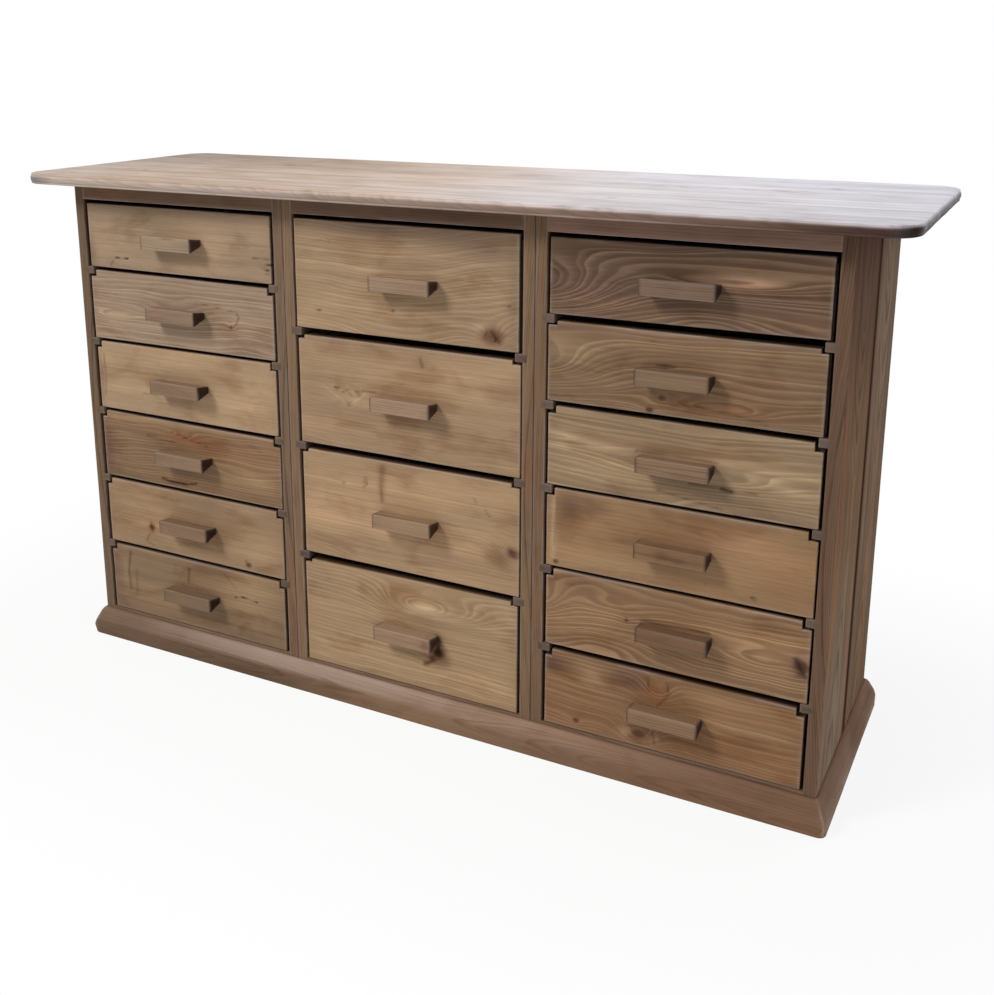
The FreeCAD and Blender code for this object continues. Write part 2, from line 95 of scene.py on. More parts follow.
class CABINET_Colours(bpy.types.PropertyGroup):
    """Colours of the timbers, as linear light."""
    upright: colour("Upright", "Early wood of the uprights", (0.200, 0.125, 0.080))
    upright_band: colour("Upright band", "Late wood of the uprights", (0.098, 0.054, 0.033))
    rail: colour("Rail", "Early wood of the rails under the top", (0.150, 0.098, 0.066))
    rail_band: colour("Rail band", "Late wood of the rails", (0.080, 0.048, 0.032))
    side: colour("Side", "Early wood of the outer sides", (0.150, 0.094, 0.058))
    side_band: colour("Side band", "Late wood of the outer sides", (0.078, 0.044, 0.026))
    top: colour("Top", "Early wood of the top board", (0.46, 0.36, 0.285))
    top_band: colour("Top band", "Late wood of the top board", (0.28, 0.205, 0.155))
    runner: colour("Runner", "Early wood of the runners", (0.127, 0.084, 0.062))
    runner_band: colour("Runner band", "Late wood of the runners", (0.074, 0.045, 0.031))
    plinth: colour("Plinth", "Early wood of the plinth", (0.34, 0.23, 0.16))
    plinth_band: colour("Plinth band", "Late wood of the plinth", (0.21, 0.13, 0.088))
    inner: colour("Inner", "Wood inside the cabinet and the drawers", (0.42, 0.30, 0.18))
    inner_band: colour("Inner band", "Late wood inside", (0.27, 0.17, 0.095))
    knot: colour("Knot", "Heart of a knot", (0.075, 0.028, 0.014))
    # Also the colour of the painted shade on the drawer sides behind the fronts and along the plinth's
    # crease.
    crack: colour("Crack", "Bottom of a crack or a dark stain", (0.026, 0.013, 0.008))
    worn: colour("Worn arris", "Wood laid bare along a worn edge", (0.50, 0.43, 0.38))
    steel: colour("Steel", "Screws", (0.42, 0.40, 0.37))
    floor: colour("Floor", "Studio floor", (0.93, 0.93, 0.93))


def sizes():
    return bpy.context.scene.cabinet_sizes


def colours():
    return bpy.context.scene.cabinet_colours


# Surfaces -----------------------------------------------------

ROUNDING = np.array([0, 0.3, 0.65])  # where a rounded edge has points, as shares of its radius


def stations(low, high, step, radius=0.0, extra=()):
    """Positions from low to high: even steps, closer ones where an edge rounds over, and any extra ones."""
    count = max(1, int(round((high - low - 2 * radius) / step)))
    rounding = radius * ROUNDING
    found = np.concatenate([low + rounding, np.linspace(low + radius, high - radius, count + 1),
                            high - rounding, np.asarray(extra, float)])
    found = np.unique(np.round(found, 6))
    return found[(found >= low - 1e-9) & (found <= high + 1e-9)]


def lattice(xs, ys, zs):
    """The closed outer surface of a block lattice: points at every (x, y, z) with a coordinate at either end
    of its list, and the quads between neighbours on the six sides, facing outwards."""
    shell = np.zeros((len(xs), len(ys), len(zs)), bool)
    for axis in range(3):
        view = np.moveaxis(shell, axis, 0)
        view[0] = view[-1] = True
    number = np.full(shell.shape, -1)
    number[shell] = np.arange(shell.sum())
    points = np.stack(np.meshgrid(xs, ys, zs, indexing="ij"), -1)[shell]
    quads = []
    for axis in range(3):
        for end in (0, -1):
            side = np.take(number, end, axis=axis)
            quad = np.stack([side[:-1, :-1], side[1:, :-1], side[1:, 1:], side[:-1, 1:]], -1).reshape(-1, 4)
            quads.append(quad[:, ::-1] if (end == 0) != (axis == 1) else quad)
    return points, np.concatenate(quads)


def edge_distance(points, low, high):
    """Distance of each surface point to the nearest edge of its block: the second smallest of its three
    distances to the block's faces."""
    return np.sort(np.minimum(points - low, high - points), axis=1)[:, 1]


def eased(points, low, high, radius):
    """Rounds all edges of a block: a point is split at the block shrunk by the radius, and the part outside
    is set to the radius in length."""
    inner = np.clip(points, low + radius, high - radius)
    over = points - inner
    size = np.maximum(np.linalg.norm(over, axis=1, keepdims=True), 1e-9)
    return inner + over * radius / size


def cornered(points, low, high, corner, rim):
    """Rounds a slab's corners seen from above and its rim seen from the side: in a corner square the larger
    of the two offsets becomes the distance from the corner's centre; then the offsets beyond the rim's
    quarter circle, outwards and upwards, are set to the rim's radius in length."""
    inner = points.copy()
    inner[:, :2] = np.clip(points[:, :2], low[:2] + corner, high[:2] - corner)
    over = (points - inner)[:, :2]
    reach = np.abs(over).max(1, keepdims=True)
    size = np.maximum(np.linalg.norm(over, axis=1, keepdims=True), 1e-9)
    outwards = over / size
    middle = (low[2] + high[2]) / 2
    half = (high[2] - low[2]) / 2
    out = np.maximum(reach[:, 0] - (corner - rim), 0)
    up = np.maximum(np.abs(points[:, 2] - middle) - (half - rim), 0)
    scale = np.maximum(out, up) / np.maximum(np.hypot(out, up), 1e-9)
    distance = np.where(out > 0, corner - rim + out * scale, reach[:, 0])
    shaped = inner.copy()
    shaped[:, :2] += outwards * distance[:, None]
    height = np.where(up > 0, half - rim + up * scale, np.abs(points[:, 2] - middle))
    shaped[:, 2] = middle + np.sign(points[:, 2] - middle) * height
    return shaped


def waves(points, seed, count=6, longest=0.5, shortest=0.06):
    """Smooth noise between about -1 and 1: a mean of sine waves of seeded directions and lengths."""
    dice = np.random.default_rng(seed)
    total = np.zeros(len(points))
    for size in np.geomspace(longest, shortest, count):
        direction = dice.normal(size=3)
        direction *= 2 * math.pi / size / np.linalg.norm(direction)
        total += np.sin(points @ direction + dice.uniform(0, 2 * math.pi)) * (size / longest) ** 0.35
    return total / count * 1.6


# Timber -------------------------------------------------------

def timber(tone, band, contrast=0.5, spacing=3.0, pith=((0, -170, 60),), figures=(), knots=(), marks=(),
           patches=(), turn="x", seed=0, wear=1.0):
    """How one board was cut. Lengths in mm from the board's middle, u along the grain and v across it.
    pith: (u, v, depth) of the tree's heart line; figures: (u, v, half u, half v, rings pushed aside);
    knots: (u, v, radius, rings pushed aside, darkness); marks: (u, v, u, v, width, darkness) of a crack or
    stain; patches: (u, v, half u, half v, colour, amount, degrees turned)."""
    return dict(tone=tone, band=band, contrast=contrast, spacing=spacing, pith=np.array(pith, float),
                figures=figures, knots=knots, marks=marks, patches=patches, turn=turn, seed=seed, wear=wear)


def follow(path, u, column):
    """A path's value at u, mixed smoothly between its points by a bell curve of the distance to each."""
    centres = path[:, 0]
    if len(path) == 1:
        return np.full(len(u), path[0, column])
    reach = (centres.max() - centres.min()) / (len(path) - 1) * 0.7
    near = np.clip(u, centres.min() - reach, centres.max() + reach)
    weight = np.exp(-((near[:, None] - centres) / reach) ** 2)
    return (weight * path[:, column]).sum(1) / weight.sum(1)


def bell(u, v, at_u, at_v, half_u, half_v, turned=0.0):
    """A bell over the board: 1 at its middle, falling off with the square of the distance in half sizes."""
    cos, sin = math.cos(math.radians(turned)), math.sin(math.radians(turned))
    along = (u - at_u) * cos + (v - at_v) * sin
    across = (v - at_v) * cos - (u - at_u) * sin
    return np.exp(-(along / half_u) ** 2 - (across / half_v) ** 2)


def timber_values(points, cut):
    """Grain coordinates, ring count, colours and marks at points of a board, by its cut. The ring count is
    the distance from the heart line over the ring spacing, with a bell added for each figure and a cone with
    a rounded foot for each knot."""
    low, high = points.min(0), points.max(0)
    order = GRAIN_ALONG[cut["turn"]]
    u, v, w = ((points - (low + high) / 2)[:, order] / MM).T
    stray = waves(points[:, order] * (1, 3.2, 3.2), cut["seed"] + 7, 6, 0.42, 0.07)
    heart = v - follow(cut["pith"], u, 1)
    depth = w + follow(cut["pith"], u, 2)
    rings = np.hypot(heart, depth) / cut["spacing"] + 0.55 * stray
    for at_u, at_v, half_u, half_v, push in cut["figures"]:
        rings += push * bell(u, v, at_u, at_v, half_u, half_v)
    knot = np.zeros(len(u))
    for at_u, at_v, radius, push, darkness in cut["knots"]:
        near = np.hypot((u - at_u) / 1.3, v - at_v) / radius
        rings += push * np.exp(-near / 1.8)
        knot = np.maximum(knot, darkness * np.clip(1.5 - near * 1.05, 0, 1))
    dark = np.zeros(len(u))
    for u0, v0, u1, v1, width, strength in cut["marks"]:
        run = np.array([u1 - u0, v1 - v0])
        share = np.clip(((u - u0) * run[0] + (v - v0) * run[1]) / (run @ run + 1e-9), 0, 1)
        away = np.hypot(u - u0 - share * run[0], v - v0 - share * run[1]) / width
        dark = np.maximum(dark, strength * np.exp(-away ** 2))
    tone = np.tile(np.array(cut["tone"], float)[:3], (len(u), 1))
    band = np.tile(np.array(cut["band"], float)[:3], (len(u), 1))
    blend = band[0] / tone[0]
    for at_u, at_v, half_u, half_v, patch, amount, *turned in cut["patches"]:
        share = amount * bell(u, v, at_u, at_v, half_u, half_v, *turned)[:, None]
        tone = tone * (1 - share) + np.array(patch[:3]) * share
        band = band * (1 - share) + np.array(patch[:3]) * blend * share
    elsewhere = cut["seed"] * 0.731 % 9, cut["seed"] * 0.413 % 7, 0  # so that no two boards look the same
    grain = np.stack([u, v, w], 1) * MM + elsewhere
    return dict(grain=grain, rings=rings, tone=np.c_[tone, np.full(len(u), cut["contrast"])],
                band=np.c_[band, np.ones(len(u))], knot=knot, dark=dark)


WEAR_REACH, GRIME_REACH = 2.2 * MM, 14 * MM  # how far wear and grime reach in from a board's edges


def block(low, high, cut, steps, radius, extras=((), (), ()), wander=0.0, shape=None):
    """One board as a closed surface: a lattice over its block with rounded edges that stray a little from
    straight, then bent by shape(points) if given, with its timber's values at every point. Wear and grime
    fall off exponentially with the distance from an edge."""
    low, high = np.array(low, float), np.array(high, float)
    lists = [stations(low[i], high[i], steps[i], radius, extras[i]) for i in range(3)]
    raw, quads = lattice(*lists)
    edge = edge_distance(raw, low, high)
    points = eased(raw, low, high, radius)
    if wander:
        near = np.exp(-edge / (4 * MM))
        outwards = np.sign(raw - (low + high) / 2)
        at_face = np.minimum(raw - low, high - raw) < 2 * radius
        for axis in range(3):
            stray = 0.5 + 0.5 * waves(points, cut["seed"] + axis, 6, 0.3, 0.02)
            points[:, axis] -= wander * near * stray * outwards[:, axis] * at_face[:, axis]
    if shape:
        points = shape(points)
    values = timber_values(points, cut)
    values["edge"] = cut["wear"] * np.exp(-edge / WEAR_REACH)
    values["grime"] = cut["wear"] * np.exp(-edge / GRIME_REACH)
    return points, quads, values


def tinted(part, places, stops, share=1.0):
    """Multiplies a board's two colours by factors mixed between stops of (place, red, green, blue); share
    says how far each point follows them."""
    at, *factors = np.array(stops, float).T
    factor = np.stack([np.interp(places, at, values) for values in factors], 1)
    factor = 1 + (factor - 1) * np.reshape(share, (-1, 1))
    for key in ("tone", "band"):
        part[2][key][:, :3] *= factor
    return part


# How a value of one, three or four numbers per point is kept in a mesh.
KEPT_AS = {1: ("FLOAT", "value"), 3: ("FLOAT_VECTOR", "vector"), 4: ("FLOAT_COLOR", "color")}


def piece(name, body, parts, material, replaces=(), crease=40):
    """One object from the closed surfaces of its boards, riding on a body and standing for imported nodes."""
    offset = 0
    points, quads = [], []
    for part_points, part_quads, _ in parts:
        points.append(part_points)
        quads.append(part_quads + offset)
        offset += len(part_points)
    points, quads = np.concatenate(points), np.concatenate(quads)
    if not len(points) or not np.isfinite(points).all():
        raise RuntimeError(f"{name} came out empty or with a point that isn't a number")
    mesh = bpy.data.meshes.new(name)
    mesh.from_pydata(points, [], quads)
    for key in parts[0][2]:
        found = np.concatenate([part[2][key] for part in parts]).astype(np.float32)
        kind, field = KEPT_AS[found.size // len(found)]
        mesh.attributes.new(key, kind, "POINT").data.foreach_set(field, found.ravel())
    mesh.polygons.foreach_set("use_smooth", np.ones(len(mesh.polygons), bool))
    mesh.set_sharp_from_angle(angle=math.radians(crease))
    mesh.update()
    thing = bpy.data.objects.new(name, mesh)
    bpy.context.scene.collection.objects.link(thing)
    mesh.materials.append(material)
    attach(thing, body)
    if replaces:
        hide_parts(*replaces)
    return thing


# Materials ----------------------------------------------------

class Tree:
    """The node tree of a new material or world, with short ways to add nodes. Their inputs are numbers,
    colours or other nodes' sockets."""

    def __init__(self, name, kind="materials"):
        self.owner = getattr(bpy.data, kind).new(name)
        self.owner.use_nodes = True
        self.tree = self.owner.node_tree
        self.tree.nodes.clear()

    def add(self, kind, inputs=None, output=0, **settings):
        made = self.tree.nodes.new(kind)
        for key, value in settings.items():
            setattr(made, key, value)
        for key, value in (inputs or {}).items():
            socket = made.inputs[key]
            if isinstance(value, bpy.types.NodeSocket):
                self.tree.links.new(value, socket)
            else:
                socket.default_value = (*value[:3], 1) if socket.type == "RGBA" else value
        return made.outputs[output] if made.outputs else None

    def math(self, operation, a, b=0.0, c=0.0):
        return self.add("ShaderNodeMath", {0: a, 1: b, 2: c}, operation=operation)

    def times(self, a, b):
        return self.math("MULTIPLY", a, b)

    def scale(self, vector, factors):
        return self.add("ShaderNodeVectorMath", {0: vector, 1: factors}, operation="MULTIPLY")

    def noise(self, vector, detail=2.0, rough=0.5, distortion=0.0):
        return self.add("ShaderNodeTexNoise", {"Vector": vector, "Scale": 1.0, "Detail": detail,
                                               "Roughness": rough, "Distortion": distortion})

    def mix(self, share, a, b, blend="MIX"):
        return self.add("ShaderNodeMix", {0: share, 6: a, 7: b}, 2, data_type="RGBA", blend_type=blend)

    def ramp(self, value, low, high, to_low=0.0, to_high=1.0):
        return self.add("ShaderNodeMapRange", {"Value": value, "From Min": low, "From Max": high,
                                               "To Min": to_low, "To Max": to_high},
                        interpolation_type="SMOOTHSTEP")

    def attribute(self, name, output):
        return self.add("ShaderNodeAttribute", attribute_name=name, output=output)

    def place(self):
        return self.add("ShaderNodeTexCoord", output=3)

    def unlit_share(self):
        """1 for rays from the camera and mirrored rays, 0 for the rest."""
        path = self.add("ShaderNodeLightPath").node.outputs
        return self.math("MAXIMUM", path["Is Camera Ray"], path["Is Glossy Ray"])

    def finish(self, shader, kind="Material"):
        self.add(f"ShaderNodeOutput{kind}", {0: shader})
        return self.owner


HEART_FOLD, HEART_STRAY = 0.11, 0.12  # in m, how far apart a loose part's heart lines are, and how they stray


def loose_grain(t, place, turn, spacing):
    """Grain coordinates and ring count of a part whose grain follows its Object coordinates. The count is
    the distance from a straying heart line, one for every fold of the width, over the ring spacing."""
    u, v, w = (place[i] for i in GRAIN_ALONG[turn])
    grain = t.add("ShaderNodeCombineXYZ", {0: u, 1: v, 2: w})
    across = t.math("MULTIPLY_ADD", t.noise(t.scale(grain, (2.2, 3.0, 3.0))), HEART_STRAY, v)
    across = t.math("PINGPONG", across, HEART_FOLD)
    far = t.math("ADD", t.times(across, across), t.times(w, w))
    return grain, t.math("DIVIDE", t.math("SQRT", far), spacing * MM)


def late_wood(t, rings, streak, broad, contrast):
    """How dark the late wood is: the ring count, made uneven, rises over most of a ring and falls at its
    end, times a strength that differs from ring to ring and along the board."""
    uneven = t.add("ShaderNodeTexNoise", {"W": t.times(rings, 0.45), "Scale": 1.0, "Detail": 1.0},
                   noise_dimensions="1D")
    count = t.math("ADD", rings, t.math("MULTIPLY_ADD", uneven, 1.5, t.times(streak, 0.22)))
    share = t.math("FRACT", count)
    late = t.times(t.ramp(share, 0.2, 0.8), t.ramp(share, 1.0, 0.84))
    each = t.add("ShaderNodeTexWhiteNoise", {"W": t.math("FLOOR", count)}, noise_dimensions="1D")
    late = t.times(late, t.math("MULTIPLY_ADD", each, 0.8, 0.4))
    return t.times(late, t.times(contrast, t.ramp(broad, 0.3, 0.62, 0.55, 1.15)))


def worn(t, paint, streak, broad, knot, dark, edge, grime):
    """A board's colour with dirt beside its edges, paler wood along them, its knots and its dark marks, each
    mixed in by its own share."""
    c = colours()
    grime_share = t.times(grime, t.ramp(streak, 0.35, 0.7, 0.05, 0.45))
    paint = t.mix(grime_share, paint, t.mix(1.0, paint, (0.55, 0.5, 0.46), "MULTIPLY"))
    bare = t.times(edge, t.ramp(broad, 0.36, 0.6, 0.12, 0.7))
    paint = t.mix(bare, paint, t.mix(0.65, paint, c.worn))
    heart = t.times(knot, t.math("MULTIPLY_ADD", streak, 0.8, 0.6))
    paint = t.mix(t.math("MINIMUM", heart, 0.9), paint, c.knot)
    return t.mix(dark, paint, c.crack)


GAP_SHADE_FADE = 14 * MM  # length over which the painted shade behind a drawer front fades out


def wood(name, fibre=0.40, blotch=0.20, stripes=0.14, rough=(0.50, 0.78), bump=0.35, sheen=0.2, loose=None,
         joint=None):
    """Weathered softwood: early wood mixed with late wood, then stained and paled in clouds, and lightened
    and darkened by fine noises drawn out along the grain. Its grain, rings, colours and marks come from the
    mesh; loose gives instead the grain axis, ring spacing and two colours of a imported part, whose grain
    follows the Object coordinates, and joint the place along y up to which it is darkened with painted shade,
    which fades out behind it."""
    made = bpy.data.materials.get("cabinet_" + name)
    if made:
        return made
    t = Tree("cabinet_" + name)
    if loose:
        turn, spacing, tone, band = loose
        place = t.add("ShaderNodeSeparateXYZ", {0: t.place()}).node.outputs
        grain, rings = loose_grain(t, place, turn, spacing)
        contrast, dark = 0.55, 0.0
    else:
        grain = t.attribute("grain", 1)
        rings = t.attribute("rings", 2)
        tone_node = t.attribute("tone", 0).node
        tone, contrast = tone_node.outputs[0], tone_node.outputs[3]
        band = t.attribute("band", 0)
        knot, dark, edge, grime = (t.attribute(key, 2) for key in ("knot", "dark", "edge", "grime"))
    fine = t.noise(t.scale(grain, (30, 800, 800)), 2.0, 0.6)
    streak = t.noise(t.scale(grain, (5, 210, 210)), 3.0, 0.6)
    stripe = t.noise(t.scale(grain, (1.1, 48, 48)), 3.0, 0.55)
    broad = t.noise(t.scale(grain, (9, 20, 20)), 3.0, 0.55, 0.4)
    cloud = t.noise(t.scale(grain, (4, 9, 9)), 2.0, 0.5)
    late = late_wood(t, rings, streak, broad, contrast)
    paint = t.mix(t.math("MINIMUM", late, 1.0), tone, band)
    stained = t.mix(1.0, paint, (0.74, 0.66, 0.60), "MULTIPLY")
    paint = t.mix(t.ramp(broad, 0.46, 0.74, 0.0, blotch * 2.2), paint, stained)
    paler = t.mix(1.0, paint, (1.22, 1.20, 1.17), "MULTIPLY")
    paint = t.mix(t.ramp(cloud, 0.45, 0.7, 0.0, blotch * 2.0), paint, paler)
    light = t.math("ADD", t.math("MULTIPLY_ADD", fine, fibre * 0.8, 1 - fibre * 0.4),
                   t.math("MULTIPLY_ADD", streak, fibre, -fibre * 0.5))
    light = t.math("ADD", light, t.math("MULTIPLY_ADD", stripe, stripes * 2, -stripes))
    paint = t.add("ShaderNodeVectorMath", {0: paint, "Scale": light}, operation="SCALE")
    if not loose:
        paint = worn(t, paint, streak, broad, knot, dark, edge, grime)
    elif joint is not None:
        # Painted shade on the drawer sides behind the fronts, as if shadowed in the gaps.
        paint = t.mix(t.ramp(place[1], joint, joint + GAP_SHADE_FADE, 0.95, 0.0), paint, colours().crack)
    height = t.math("MULTIPLY_ADD", late, 0.5, t.times(streak, 0.5))
    height = t.math("ADD", t.times(fine, 0.45), height)
    height = t.math("SUBTRACT", height, t.times(dark, 3.0))
    normal = t.add("ShaderNodeBump", {"Strength": bump, "Distance": 0.6 * MM, "Height": height})
    uneven = t.math("ADD", t.times(fine, 0.4), t.times(broad, 0.6))
    shader = t.add("ShaderNodeBsdfPrincipled", {
        "Base Color": paint, "Roughness": t.ramp(uneven, 0.3, 0.7, *rough), "Normal": normal,
        "Specular IOR Level": t.math("MULTIPLY_ADD", dark, -sheen, sheen)})
    return t.finish(shader)


def steel(name="screw_steel"):
    """Dull zinc-coated steel with fine scratches and a few rust specks."""
    made = bpy.data.materials.get("cabinet_" + name)
    if made:
        return made
    t = Tree("cabinet_" + name)
    place = t.place()
    scratch = t.noise(t.scale(place, (900, 250, 900)), 2.0)
    rust = t.noise(t.scale(place, (380, 380, 380)), 3.0)
    paint = t.mix(t.ramp(rust, 0.55, 0.7, 0.0, 0.6), tuple(colours().steel), (0.16, 0.07, 0.03))
    gloss = t.ramp(scratch, 0.3, 0.7, 0.3, 0.55)
    shader = t.add("ShaderNodeBsdfPrincipled", {"Base Color": paint, "Roughness": gloss, "Metallic": 1.0})
    return t.finish(shader)


# Boards -------------------------------------------------------

class CabinetOperator:
    """What the piece operators share."""
    bl_options = {"REGISTER", "UNDO"}


def packed(node):
    """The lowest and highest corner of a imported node."""
    return np.array(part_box(node))


def bay(column):
    """Left and right edge of a column's opening: the inner faces of the uprights beside it, to the micrometre
    that stations() works in."""
    beside = sorted(tuple(packed(node)[:, 0]) for node, columns in UPRIGHTS.items() if column in columns)
    return round(beside[0][1], 6), round(beside[1][0], 6)


def drawers():
    """Column and number of every drawer, from the left and from the top."""
    return [(column, number) for column, count in COLUMNS.items() for number in range(1, count + 1)]


def runner_tops(column):
    """Height of the top of each pair of runners in a column, under all drawers but the lowest."""
    return [packed(f"drawer_{column}_{number}_front")[0][2] - LIFT for number in range(1, COLUMNS[column])]


# Drawer fronts ------------------------------------------------

def shade(red, green, blue):
    """A colour given as it shows on a screen, 0 to 255, in linear light."""
    return tuple(((value / 255 + 0.055) / 1.055) ** 2.4 for value in (red, green, blue))


DARK = shade(92, 66, 46)
DUSK = shade(104, 84, 72)
RUST = shade(140, 86, 52)
PLUM = shade(84, 62, 58)
PALE = shade(190, 162, 126)
CREAM = shade(202, 177, 144)
MOSS = shade(128, 112, 84)
ROSE = shade(176, 136, 112)

